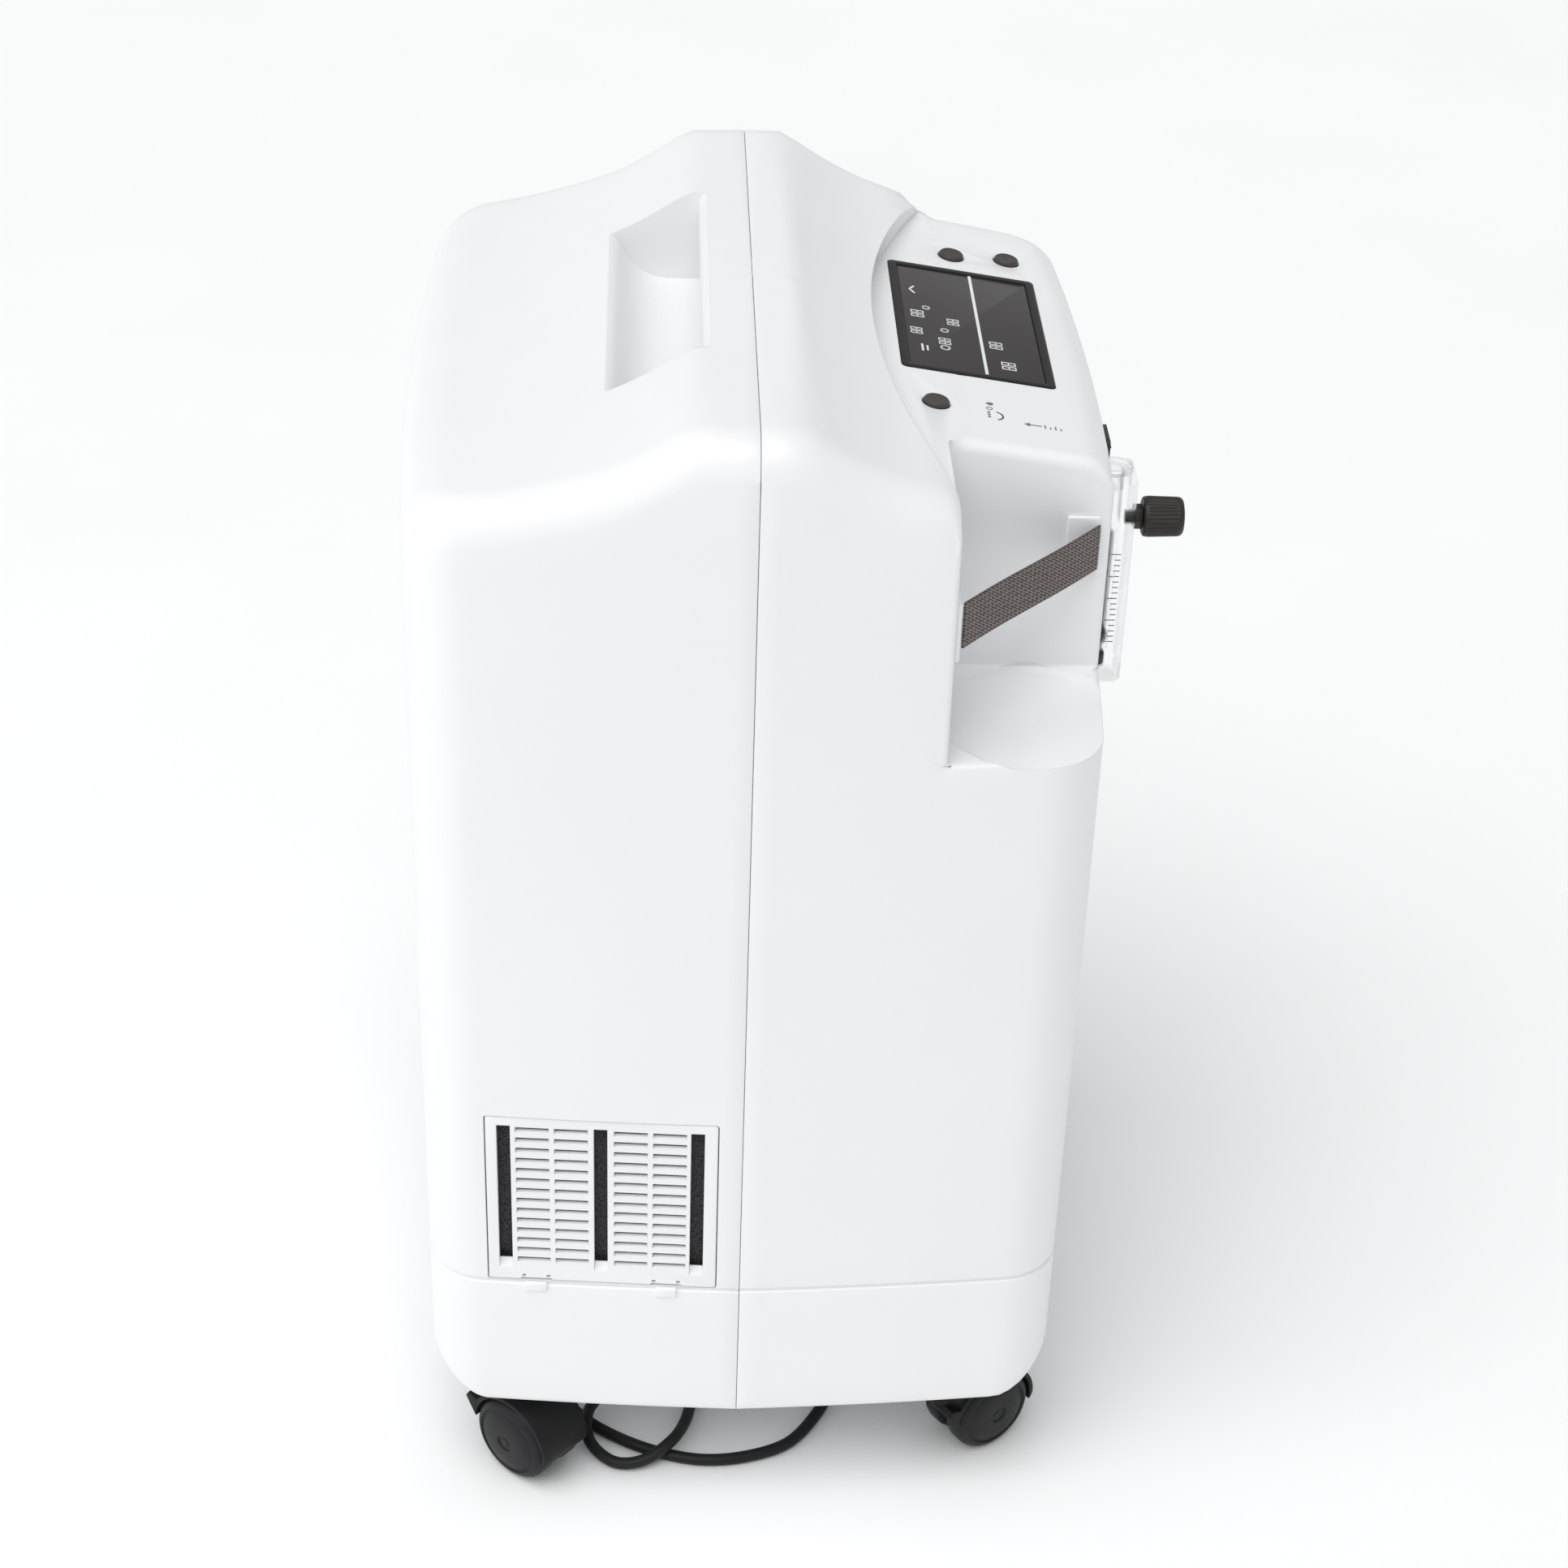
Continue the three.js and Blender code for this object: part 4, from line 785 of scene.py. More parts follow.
def bend(a, b, c, steps, skip=0):
    """A quadratic curve from a to c, drawn towards b."""
    return [
        tuple((1 - t) ** 2 * p + 2 * t * (1 - t) * q + t * t * r for p, q, r in zip(a, b, c))
        for t in np.linspace(0, 1, steps + 1)[skip:]
    ]


def grip_profile(grow=0.0):
    """Side view of the hand-hold, open at the top, with rolled lips where it is not grown."""
    g = grow
    floor, back = 602 - g, 9 - g
    if g:
        rear_lip = [(80 + g, 674), (66 + g, 618)]
        bar_lip = [(24 - g, 634 + g), (17 - g, 674)]
    else:
        rear_lip = [(96, 690), (88, 640), (82, 626.5), (74, 627.2), (69.5, 626), (66.2, 623), (64.2, 619.4)]
        bar_lip = [(20.5, 634), (23, 635), (24.6, 637.4), (25.3, 641), (24.9, 645), (23.2, 648.4),
                   (20.6, 650.6), (20.6, 690)]
    return [
        *rear_lip,
        *bend((62 + g, 618 if g else 616), (54 + g, floor), (38, floor), 8, 1),
        *bend((17, floor), (back, floor), (back, 614), 6),
        *bend((back, 628), (back, 634 + g), (17, 634 + g), 4),
        *bar_lip,
    ]


def console_cut(grow=0.0):
    """The room above the console, with its curved rear wall."""
    outline = []
    reach = 172 + grow
    for x in np.linspace(-reach, reach, 25 if grow else 49):
        outline.append((x, -57 + 1.3 * grow - 37 * (x / reach) ** 2 - CONSOLE_REF[0]))
    front = -45.0 if grow else -120.0
    outline += [(reach, front), (-reach, front)]
    shape = prism(outline, -0.05 - grow, 60)
    return moved(shape, Matrix.Translation((0, CONSOLE_REF[0], CONSOLE_REF[1])) @ ON_CONSOLE)


def flowmeter_cut(grow=0.0):
    w, d, h = FLOWMETER_SIZE
    clear_by = 0.6 + grow
    rear = FLOWMETER_FRONT_Y + d + 0.3 + grow
    outline = rounded(w + 2 * clear_by, 60, 1.5, 4, FLOWMETER_X, rear - 30)
    return prism(outline, FLOWMETER_FOOT_Z - clear_by, FLOWMETER_FOOT_Z + h + clear_by + 3.4)


def outlet_cut(grow=0.0):
    floor = front_face_y(OUTLET[0]) + OUTLET_DEPTH + grow
    r = 14 + grow
    profile = [(0, 0), (r - 1, 0), (r, 1), (r, 22), (r + 0.5, 23.3), (r + 1.6, 24.3), (r + 1.6, 45), (0, 45)]
    if grow:
        profile = [(0, 0), (r, 0), (r, 45), (0, 45)]
    shape = moved(turned(profile, 48), TO_FRONT)
    return shifted(shape, OUTLET[0], floor, OUTLET[1])


def screw_cut(x, z, radius, depth):
    shape = moved(turned([(0, -depth), (radius, -depth), (radius, 12), (0, 12)], 24), TO_REAR)
    return shifted(shape, x, rear_face_y(x), z)


ON_COVER = Matrix.Translation(GRILLE_PLACE) @ Matrix.Rotation(math.pi - GRILLE_YAW, 4, "Z")
SCREWS = {
    "rear_screw_upper_left": (-120, 540),
    "rear_screw_upper_right": (120, 540),
    "rear_screw_lower_left": (-120, 200),
    "rear_screw_lower_right": (120, 200),
}


def cover_cut():
    w, h = GRILLE[0] / 2 + 0.5, GRILLE[1] / 2 + 0.5
    return moved(prism(rounded(2 * w, 2 * h, 1.5, 3), -14, 14, "x"), ON_COVER)


def tray_cut():
    return prism(rounded(340.6, 278.6, 20.3, 8, 0, -2), BASE_Z - 10, BASE_Z + 10)


def half_shell(name, side, hollows, tools):
    """Cuts tools and the inside from a half. The hollows leave a wall round the tools inside."""
    inner = link(mesh_of("inner", *HalfShell(side, WALL).build()), "inner")
    grip = prism(grip_profile(WALL), -GRIP_HALF_WIDTH - WALL, GRIP_HALF_WIDTH + WALL, "x")
    cut(inner, [cutter(shape) for shape in (grip, *hollows)])
    shell = link(mesh_of(name, *HalfShell(side).build()), name)
    cut(shell, [inner.data, *(cutter(shape) for shape in tools)])
    bpy.data.objects.remove(inner)
    return shell


def front_shell():
    w, h = SWITCH[2] / 2 - 1, SWITCH[3] / 2 - 1
    tools = [console_cut(), flowmeter_cut(), outlet_cut(), tray_cut()]
    seat_x, seat_y, seat_r, seat_d = SEAT
    dish = [(0, -seat_d), (seat_r - 4.5, -seat_d), (seat_r - 2.2, -seat_d + 0.5), (seat_r - 0.9, -1.6),
            (seat_r, -0.5), (seat_r + 1.0, 0.05), (seat_r + 1.0, 2), (0, 2)]
    tools.append(shifted(turned(dish, 96), seat_x, seat_y, SHELF_Z))
    screen = rounded(SCREEN_SIZE[0] + 0.6, SCREEN_SIZE[1] + 0.6, 3, 5)
    tools.append(on_console(prism(screen, -20, 20), *SCREEN_CENTRE))
    for x, y in BUTTONS.values():
        r = BUTTON_RADIUS + 0.5
        bore = [(0, -20), (r, -20), (r, -1.0), (r + 0.3, -0.3), (r + 1.1, 0.02), (r + 1.1, 12), (0, 12)]
        tools.append(on_console(turned(bore, 40), x, y))
    tools.append(box((SWITCH[0] - w, -200, SWITCH[1] - h), (SWITCH[0] + w, -156, SWITCH[1] + h)))
    hollows = [console_cut(WALL), flowmeter_cut(WALL), outlet_cut(WALL)]
    return half_shell("front_shell_skin", -1, hollows, tools)


def rear_shell():
    tools = [prism(grip_profile(), -GRIP_HALF_WIDTH, GRIP_HALF_WIDTH, "x"), tray_cut(), cover_cut()]
    for x, z in SCREWS.values():
        tools += [screw_cut(x, z, 5.0, 2.4), screw_cut(x, z, 2.2, 12)]
    hollows = [screw_cut(x, z, 8.5, 6) for x, z in SCREWS.values()]
    return half_shell("rear_shell_skin", 1, hollows, tools)


piece("front_shell_skin", front_shell(), "cabinet", "cabinet_white", stands_for=["front_shell"])
piece("rear_shell_skin", rear_shell(), "cabinet", "cabinet_white", stands_for=["rear_shell"])


# ------------------------------------------------------------------ cord, gland and plug
PLUG_X, PLUG_Y, PLUG_Z = COIL_CENTRE[0] - 29.4, COIL_CENTRE[1] + 37, 10.3


def cord_line():
    lead = smooth_route(CORD_ROUTE + coil_points()[:3], 8)[:-16]
    tail = [
        (48, COIL_CENTRE[1] + 38.2, STACKED),
        (40, PLUG_Y + 0.2, STACKED),
        (PLUG_X + 1.0, PLUG_Y, PLUG_Z),
    ]
    rest = smooth_route(coil_points() + tail, 3)
    return lead + rest


route = cord_line()
curve = bpy.data.curves.new("mains_cord", "CURVE")
curve.dimensions = "3D"
curve.bevel_depth = CORD_RADIUS * MM
curve.bevel_resolution = 5
curve.use_fill_caps = True
spline = curve.splines.new("POLY")
spline.points.add(len(route) - 1)
for point, place in zip(spline.points, route):
    point.co = (*metres(*place), 1)
spline.use_smooth = True
cord = piece("mains_cord", link(curve, "mains_cord"), "cabinet", "cord_black", smooth=0,
             stands_for=["cord_tube", "cord_coil"])


def hexagon(radius):
    return [(radius * math.cos(math.pi * k / 3), radius * math.sin(math.pi * k / 3)) for k in range(6)]


def oval(width, height, steps=40, power=2.6):
    """A superellipse, squarer with a higher power."""
    points = []
    for i in range(steps):
        a = 2 * math.pi * i / steps
        c, s = math.cos(a), math.sin(a)
        points.append((
            width / 2 * math.copysign(abs(c) ** (2 / power), c),
            height / 2 * math.copysign(abs(s) ** (2 / power), s),
        ))
    return points


def plug_body():
    """Moulded mains plug along x, its cord end at x = 0 and its face at x = -44."""
    stations = [(0, 8.2), (-1, 8.6)]
    for k in range(5):
        ribs = [(-3, 9.2), (-4.6, 9.4), (-5.0, 8.2), (-6.6, 8.3)]
        stations += [(x - 4 * k, width + k) for x, width in ribs]
    stations += [(-24, 16), (-27, 21.5), (-30, 25), (-33, 26.4), (-42.6, 26.6), (-43.6, 26.0), (-44, 24.6)]
    rings = []
    for x, width in stations:
        height = min(width, 20) if width > 12 else width
        rings.append([(x, a, b) for a, b in oval(width, height)])
    return solid(rings)


plug_parts = [plug_body()]
for sign in (-1, 1):
    blade = [(0, -3.1), (-15.4, -3.1), (-17, -2.2), (-17, 2.2), (-15.4, 3.1), (0, 3.1)]
    shape = prism(blade, sign * 6.35 - 0.75, sign * 6.35 + 0.75, "y")
    plug_parts.append(moved(shape, Matrix.Translation((-43.9, 0, 0.5))))
earth = moved(turned([(0, 0), (2.3, 0), (2.3, 17), (1.6, 18.6), (0.6, 19), (0, 19)], 20),
              Matrix.Rotation(-math.pi / 2, 4, "Y"))
plug_parts.append(shifted(earth, -43.9, 0, -5.6))
plug_place = Matrix.Translation((PLUG_X, PLUG_Y, PLUG_Z - 0.1))
plug = piece("plug_moulding", mesh_of("plug", *moved(plug_parts[0], plug_place)), "cabinet", "cord_black",
             stands_for=["mains_plug"])
for index, part in enumerate(plug_parts[1:]):
    pin = mesh_of("pin", *moved(part, plug_place))
    pin = piece(f"plug_pin_{index}", pin, "cabinet", "cord_black", "steel")
    softened(pin, 0.25, 2)

relief = [(0, 0), (8.2, 0), (8.2, 2.6), (7.6, 3.2), (5.9, 4.2)]
for k in range(5):
    base = 5.6 + 4.0 * k
    radius = 5.7 - 0.26 * k
    relief += [(radius, base), (radius, base + 2.2), (radius - 0.9, base + 2.4), (radius - 0.95, base + 3.7)]
relief += [(4.2, 25.6), (4.0, 26), (0, 26)]
relief_place = Matrix.Translation(GLAND) @ Matrix.Rotation(-3 * math.pi / 4, 4, "Y")
relief = mesh_of("gland", *moved(turned(relief, 40), relief_place))
piece("gland_sleeve", relief, "cabinet", "cord_black", stands_for=["cord_gland"])
collar = mesh_of("gland_collar", *shifted(prism(hexagon(12.4), 46, 63.7), GLAND[0], GLAND[1], 0))
collar = softened(link(collar, "gland_collar"), 1.0, 3)
piece("gland_collar", collar, "cabinet", "cord_black")


# ------------------------------------------------------------------ casters
def local_mesh(name, shape):
    """A mesh of a shape in its own frame, in metres."""
    points, faces = shape
    return mesh_of(name, [tuple(MM * c for c in p) for p in points], faces, moved=False)


def wheel_room(side):
    """The room the hood leaves for a wheel, with 0.7 round it."""
    reach = WHEEL_RADIUS + 0.7
    shape = turned([(0, 0), (reach, 0), (reach, 30), (0, 30)], 64)
    shape = moved(shape, Matrix.Rotation(side * -math.pi / 2, 4, "X"))
    return local_mesh("room", shifted(shape, WHEEL_TRAIL, side * 3.3, WHEEL_RADIUS))


def caster_hood():
    """Stem, collar and the twin-wheel hood, in the caster's own frame. The wheels trail to +x."""
    centre = (WHEEL_TRAIL, WHEEL_RADIUS)
    crown = WHEEL_RADIUS + 3.4
    outline = [(-13, 34), (-15.2, 37.5), (-13, 41)]
    for k in range(19):
        a = math.radians(150 - 150 * k / 18)
        outline.append((centre[0] + crown * math.cos(a), centre[1] + crown * math.sin(a)))
    outline += [(centre[0] + crown - 1.6, 21), (centre[0] + 14, 18), (centre[0] + 4, 15), (4, 16), (-6, 24)]
    web = link(local_mesh("web", prism(outline, -16.4, 16.4, "y")), "web")
    rooms = [wheel_room(side) for side in (-1, 1)]
    cut(web, rooms)
    softened(web, 0.7, 3, 40)
    collar = [(0, 36), (14.2, 36), (15.2, 38), (15.2, 49), (14.4, 53), (12.4, 57), (11.6, 61.4), (11, 62),
              (5.5, 62), (5.5, 80), (5, 81), (0, 81)]
    neck = cut(link(local_mesh("neck", turned(collar, 40)), "neck"), rooms)
    cut(web, [neck.data], "UNION")
    bpy.data.objects.remove(neck)
    return web


def caster_wheel():
    """Tyre and disc as one turned profile, its inner face at 3.9 and its outer at 18.9."""
    r = WHEEL_RADIUS
    profile = [(0, 3.9), (r - 2.2, 3.9), (r - 0.6, 4.6), (r, 6.2), (r, 12.6), (r - 0.5, 14.4),
               (r - 1.9, 16.4), (r - 3.6, 17.7), (r - 5.0, 18.1), (r - 5.6, 17.4), (r - 6.4, 17.5),
               (r - 8, 18.6), (r - 13, 19.5), (r - 18.5, 19.9), (5.2, 19.9), (4.8, 19.2), (2.8, 19.2),
               (2.4, 19.6), (0, 19.7)]
    return turned(profile, 72)


pattern = caster_hood()
hood_source = pattern.data
bpy.data.objects.remove(pattern)
for name, (x, y, direction) in CASTERS.items():
    swing = Matrix.Rotation(math.radians(direction), 4, "Z")
    place = Matrix.Translation(metres(x, y, 0)) @ swing
    hood = hood_source.copy()
    hood.transform(place)
    piece(f"hood_{name}", hood, f"swivel_{name}", "caster_black", stands_for=[f"caster_{name}_hood"])
    pin = turned([(0, -18.4), (2.2, -18.4), (3, -17.8), (3, 17.8), (2.2, 18.4), (0, 18.4)], 24)
    axle = local_mesh("axle", shifted(moved(pin, TO_FRONT), WHEEL_TRAIL, 0, WHEEL_RADIUS))
    axle.transform(place)
    piece(f"axle_{name}", axle, f"swivel_{name}", "steel", stands_for=[f"caster_{name}_axle"])
    for letter, side in (("a", 1), ("b", -1)):
        shape = moved(caster_wheel(), Matrix.Rotation(side * -math.pi / 2, 4, "X"))
        wheel = local_mesh("wheel", shifted(shape, WHEEL_TRAIL, 0, WHEEL_RADIUS))
        wheel.transform(place)
        piece(f"wheel_{name}_{letter}", wheel, f"wheel_{name}_{letter}", "wheel_black", smooth=25,
              stands_for=[f"caster_{name}_wheel_{letter}"])


# ------------------------------------------------------------------ filter cover
SLOTS = (-50.2, -0.5, 49.2)
LOUVRES = (-35.5, -15.6, 15.0, 35.0)
TABS = (-34.5, 33.5)


def filter_cover():
    """Plate in its own frame: x outwards, y along, z up. Louvres are slanted pockets in it."""
    w, h = GRILLE
    rings = [
        [(x, a, b) for a, b in rounded(w - 2 * drawn, h - 2 * drawn, 1.4, 4)]
        for x, drawn in ((-3, 0.0), (-0.5, 0.0), (-0.15, 0.15), (0, 0.55))
    ]
    cover = link(mesh_of("cover", *solid(rings), moved=False), "cover")
    tools = []
    for y in SLOTS:
        slot = [(y - 3.5, -41), (y + 3.5, -41), (y + 3.5, 49), (y - 3.5, 49)]
        tools.append(prism(slot, -9, 9, "x"))
        sill = [(0.4, -47), (-3.5, -41), (-3.5, -38), (0.4, -38)]
        tools.append(prism(sill, y - 3.5, y + 3.5, "y"))
    for y in LOUVRES:
        for row in range(14):
            z = 46.7 - row * 6.7
            wedge = [(0.5, z + 1.9), (0.0, z + 1.5), (-2.2, z - 0.4), (-3.5, z - 0.5), (-3.5, z - 1.4),
                     (0.5, z - 1.9)]
            tools.append(prism(wedge, y - 8.6, y + 8.6, "y"))
    for y in TABS:
        low, high = -h / 2 - 1, -h / 2 + 1.2
        tools.append(prism([(y - 8, low), (y + 8, low), (y + 8, high), (y - 8, high)], -1.6, 9, "x"))
        for side in (-6.4, 6.4):
            tools.append(box((-9, y + side - 0.9, -h / 2 + 1.9), (9, y + side + 0.9, -h / 2 + 3.5)))
    cut(cover, [mesh_of("tool", *tool, moved=False) for tool in tools])
    return cover


cover = filter_cover()
to_frame = Matrix.Scale(MM, 4) @ Matrix.Translation((0, SEAM_Y, 0)) @ ON_COVER
cover.data.transform(to_frame)
piece("filter_cover_plate", cover, "filter_door", "cabinet_white", stands_for=["filter_cover"])
HOOK = [(-5.6, -54.3), (-5.6, -49), (-2.6, -48.6), (-2.6, -54.3)]
CATCH = [(-4, -62.4), (1.0, -62.0), (1.7, -61.2), (1.9, -56.4), (1.3, -55.5), (-4, -55.5)]
for index, y in enumerate(TABS):
    for name, outline, reach, body in (("hook", HOOK, 6.8, "filter_door"), ("catch", CATCH, 5.6, "cabinet")):
        part = link(mesh_of(name, *prism(outline, y - reach, y + reach, "y"), moved=False), name)
        part.data.transform(to_frame)
        piece(f"cover_{name}_{index}", softened(part, 0.5, 2), body, "cabinet_white")


# ------------------------------------------------------------------ humidifier strap
def strap_mesh():
    """The band across the bay, from the rear anchor to the front one, with a slight wave in it."""
    a = Vector((-172.0, NOTCH[1] - 4.4))
    b = Vector((NOTCH[0] - 3.6, -167.5))
    run = (b - a).normalized()
    across = Vector((-run.y, run.x))
    section = oval(1.5, 24.6, 28, 7)
    rings = []
    for t in np.linspace(0, 1, 45):
        centre = a.lerp(b, t) + across * (0.5 * math.sin(2 * math.pi * t))
        narrowed = 1 - 0.012 * math.sin(math.pi * t)
        ripple = 0.036 * math.sin(40 * t * math.pi)
        rings.append([(*(centre + across * y), STRAP_Z + z * narrowed + ripple) for y, z in section])
    return solid(rings)


strap = piece("strap_band", mesh_of("strap", *strap_mesh()), "cabinet", "strap_webbing", smooth=50,
              stands_for=["humidifier_strap"])
for name, (a, b), (c, d) in (
    ("strap_anchor_rear", (-180, NOTCH[1] - 2.6), (-164, NOTCH[1] - 0.05)),
    ("strap_anchor_front", (NOTCH[0] - 2.1, -168), (NOTCH[0] - 0.05, -152)),
):
    plate = mesh_of(name, *box((a, b, STRAP_Z - 15.5), (c, d, STRAP_Z + 15.5)))
    plate = softened(link(plate, name), 0.9, 3)
    piece(f"{name}_plate", plate, "cabinet", "cabinet_white", stands_for=[name])


# ------------------------------------------------------------------ console
def console_piece(name, shape, body, slot, material=None, soften=0.0, at=SCREEN_CENTRE, **more):
    """A piece laid on the console, its shape made about z = 0."""
    obj = link(mesh_of(name, *on_console(shape, *at)), name)
    if soften:
        softened(obj, soften, 3)
    return piece(name, obj, body, slot, material, **more)


def bezel():
    """Rings drawn in from the screen's outline, over the rim and down to the glass."""
    w, h = SCREEN_SIZE
    rim = [(0.0, -5), (0.0, 0.0), (0.15, 0.3), (0.6, 0.45), (3.8, 0.45), (4.3, 0.3), (4.5, 0.0), (4.5, -2.4)]
    return solid([
        [(x, y, z) for x, y in rounded(w - 2 * d, h - 2 * d, max(2.6 - d * 0.4, 0.8), 6)] for d, z in rim
    ])


console_piece("screen_frame", bezel(), "cabinet", "bezel_black", stands_for=["screen_bezel"])
glass = rounded(SCREEN_SIZE[0] - 9.4, SCREEN_SIZE[1] - 9.4, 1.2, 4)
console_piece("screen_glass", prism(glass, -2.2, -0.2), "cabinet", "display_grey", soften=0.25,
              stands_for=["display_panel"])


def stroke(points, width, closed=False):
    """A flat line of even width, as a list of four-cornered pieces."""
    shapes = []
    line = [Vector(p) for p in points] + ([Vector(points[0])] if closed else [])
    for a, b in zip(line, line[1:]):
        run = (b - a).normalized()
        side = Vector((-run.y, run.x)) * width / 2
        a, b = a - run * width * 0.3, b + run * width * 0.3
        shapes.append([tuple(a + side), tuple(a - side), tuple(b - side), tuple(b + side)])
    return shapes


def circle(x, y, radius, steps=20, start=0.0, end=360.0):
    angles = (math.radians(start + (end - start) * k / steps) for k in range(steps + 1))
    return [(x + radius * math.cos(a), y + radius * math.sin(a)) for a in angles]


def printed(name, outlines, low, high, at, material):
    """Thin raised print on the console: each outline becomes a flat plate."""
    plates = gathered(prism(outline, low, high) for outline in outlines)
    return console_piece(name, plates, "cabinet", "bezel_black", material, smooth=0, at=at)


def segments(x, y, scale=1.0):
    """Two small seven-part figures, all parts lit, as a display shows when it starts."""
    shapes = []
    wide, middle, tall = 2.2, 2.6, 5.2
    bars = [((0, z), (wide, z)) for z in (0, middle, tall)]
    bars += [((side, 0), (side, tall)) for side in (0, wide)]
    for left in (x, x + 3.6 * scale):
        for bar in bars:
            shapes += stroke([(left + a * scale, y + b * scale) for a, b in bar], 0.5 * scale)
    return shapes


marks = [[(-57.5, -5.2), (57.5, -5.2), (57.5, -3.6), (-57.5, -3.6)]]
printed("screen_divider", marks, -0.35, 0.02, SCREEN_CENTRE, "print_white")
icons = stroke(circle(-34, 15, 2.2), 1.0) + segments(-30, 12, 1.1) + stroke([(-41, 27), (-34, 27)], 1.1)
icons += stroke([(-40, 24.4), (-35, 24.4)], 0.9) + segments(-22, 26, 1.1) + stroke(circle(-14, 14, 1.8), 0.9)
icons += segments(-2, 24, 1.2) + stroke([(26, 27), (30, 29.4), (34, 27)], 1.0) + segments(-26, -15, 1.2)
icons += segments(-48, -20, 1.3) + segments(-6, 6, 1.1) + stroke(circle(10, 22, 1.7), 0.9)
printed("screen_icons", icons, -0.35, 0.0, SCREEN_CENTRE, "print_white")

for name, (x, y) in BUTTONS.items():
    r = BUTTON_RADIUS
    cap = [(0, -6), (r, -6), (r, 0.9), (r - 0.15, 1.35), (r - 0.55, 1.75), (r - 1.1, 1.95), (r - 1.5, 1.9),
           (r - 2.1, 1.7), (r - 3.4, 1.5), (1.6, 1.42), (0, 1.4)]
    console_piece(f"{name}_cap", turned(cap, 56), name, "button_grey", at=(x, y), stands_for=[name])

drop = [(0.0, 2.6), *circle(0, 0, 1.5, 14, 150, 390)]
near_start = (-48.0, -116.0)
ink = [drop]
for k in range(3):
    ink += stroke(circle(-14 + 2.4 * k, 1.5, 0.55, 10), 0.5)
ink += stroke(circle(-12, -1.2, 4.2, 14, 200, 340), 0.9) + stroke(circle(-5.0, 0.8, 1.4, 12), 0.5)
ink += stroke([(-16, -18), (-16, -24)], 0.8)
ink.append([(-17.8, -18.4), (-14.2, -18.4), (-16, -15.4)])
for k in range(4):
    ink += stroke([(-14.5 - (k % 2) * 1.6, -26 - 2.6 * k), (-17.5, -26 - 2.6 * k)], 0.7)
printed("console_marks", ink, -0.1, 0.06, near_start, "print_grey")


# ------------------------------------------------------------------ power switch
switch_y = front_face_y(SWITCH[0]) - 0.5


w, h = SWITCH[2:]
surround = link(mesh_of("surround", *prism(rounded(w, h, 1.5, 4), 0, 1.8), moved=False), "surround")
inner_box = mesh_of("inner", *prism(rounded(w - 3, h - 3, 1, 3), -12, 0.5), moved=False)
hole = mesh_of("hole", *prism(rounded(w - 6, h - 5.4, 0.6, 3), -9, 5), moved=False)
cut(surround, [inner_box], "UNION")
cut(surround, [hole])
# still in millimetres here, so the bevel comes out a hairline that only carries the shading
softened(surround, 0.3, 2, 60)
switch_place = Matrix.Translation((SWITCH[0], switch_y + SEAM_Y, SWITCH[1])) @ TO_FRONT
surround.data.transform(Matrix.Scale(MM, 4) @ switch_place)
piece("switch_surround", surround, "cabinet", "switch_black", stands_for=["power_switch_bezel"])
profile = [(-3.6, 3.2), (-1.8, 3.45), (0, 4), (1.6, 4.9), (2.9, 6), (3.9, 2), (0, -3), (-3.9, 1)]
rings = [[(x, z, y - 3) for z, y in profile] for x in (-7, 7)]
rocker_place = Matrix.Translation((SWITCH[0], switch_y, SWITCH[1])) @ TO_FRONT
rocker = softened(link(mesh_of("rocker_cap", *moved(solid(rings), rocker_place)), "rocker_cap"), 0.35, 3)
piece("rocker_cap", rocker, "rocker", "switch_black", stands_for=["power_switch_rocker"])


# ------------------------------------------------------------------ flowmeter and knob
fw, fd, fh = FLOWMETER_SIZE
top_z = FLOWMETER_FOOT_Z + fh
meter_y = FLOWMETER_FRONT_Y + fd / 2


def meter_block():
    """Clear block with the long tapered bore of the float and rounded top and bottom edges."""
    rings = []
    for z, d in ((0, 1.6), (0.5, 0.7), (1.6, 0.0), (fh - 1.2, 0.0), (fh - 0.35, 0.35), (fh, 1.2)):
        rings.append([(x, y, FLOWMETER_FOOT_Z + z)
                      for x, y in rounded(fw - 2 * d, fd - 2 * d, 4 - d * 0.5, 8, FLOWMETER_X, meter_y)])
    block = link(mesh_of("meter", *solid(rings)), "meter")
    bore = [(0, FLOWMETER_FOOT_Z + 14), (4.9, FLOWMETER_FOOT_Z + 14), (5.4, top_z + 5), (0, top_z + 5)]
    valve = moved(turned([(0, -4), (3.8, -4), (3.8, 6), (0, 6)], 32), TO_FRONT)
    cut(block, [
        cutter(shifted(turned(bore, 48), FLOWMETER_X, meter_y, 0)),
        cutter(shifted(valve, FLOWMETER_X, FLOWMETER_FRONT_Y, KNOB_Z)),
    ])
    return softened(block, 0.4, 2, 50)


piece("flowmeter_block", meter_block(), "cabinet", "acrylic_clear", stands_for=["flowmeter_body"])
cap = [(0, -9), (5.1, -9), (5.1, 0.3), (8.6, 0.3), (9.4, 0.8), (9.4, 2.0), (8.6, 2.8), (6.4, 3.0), (6.0, 2.4),
       (0, 2.3)]
piece("flowmeter_plug", mesh_of("cap", *shifted(turned(cap, 56), FLOWMETER_X, meter_y, top_z)), "cabinet",
      "acrylic_clear", stands_for=["flowmeter_cap"])
bob = [(0, 0), (1.2, 0.1), (2.2, 0.6), (4.2, 4.6), (4.4, 5.4), (4.4, 7.6), (4.0, 8.3), (1.6, 8.7),
       (1.5, 11.4), (1.1, 12), (0, 12)]
bob = shifted(turned(bob, 40), FLOWMETER_X, meter_y, FLOWMETER_FOOT_Z + 14.3)
piece("flowmeter_bob", mesh_of("bob", *bob), "float", "steel", "switch_black", stands_for=["flowmeter_float"])
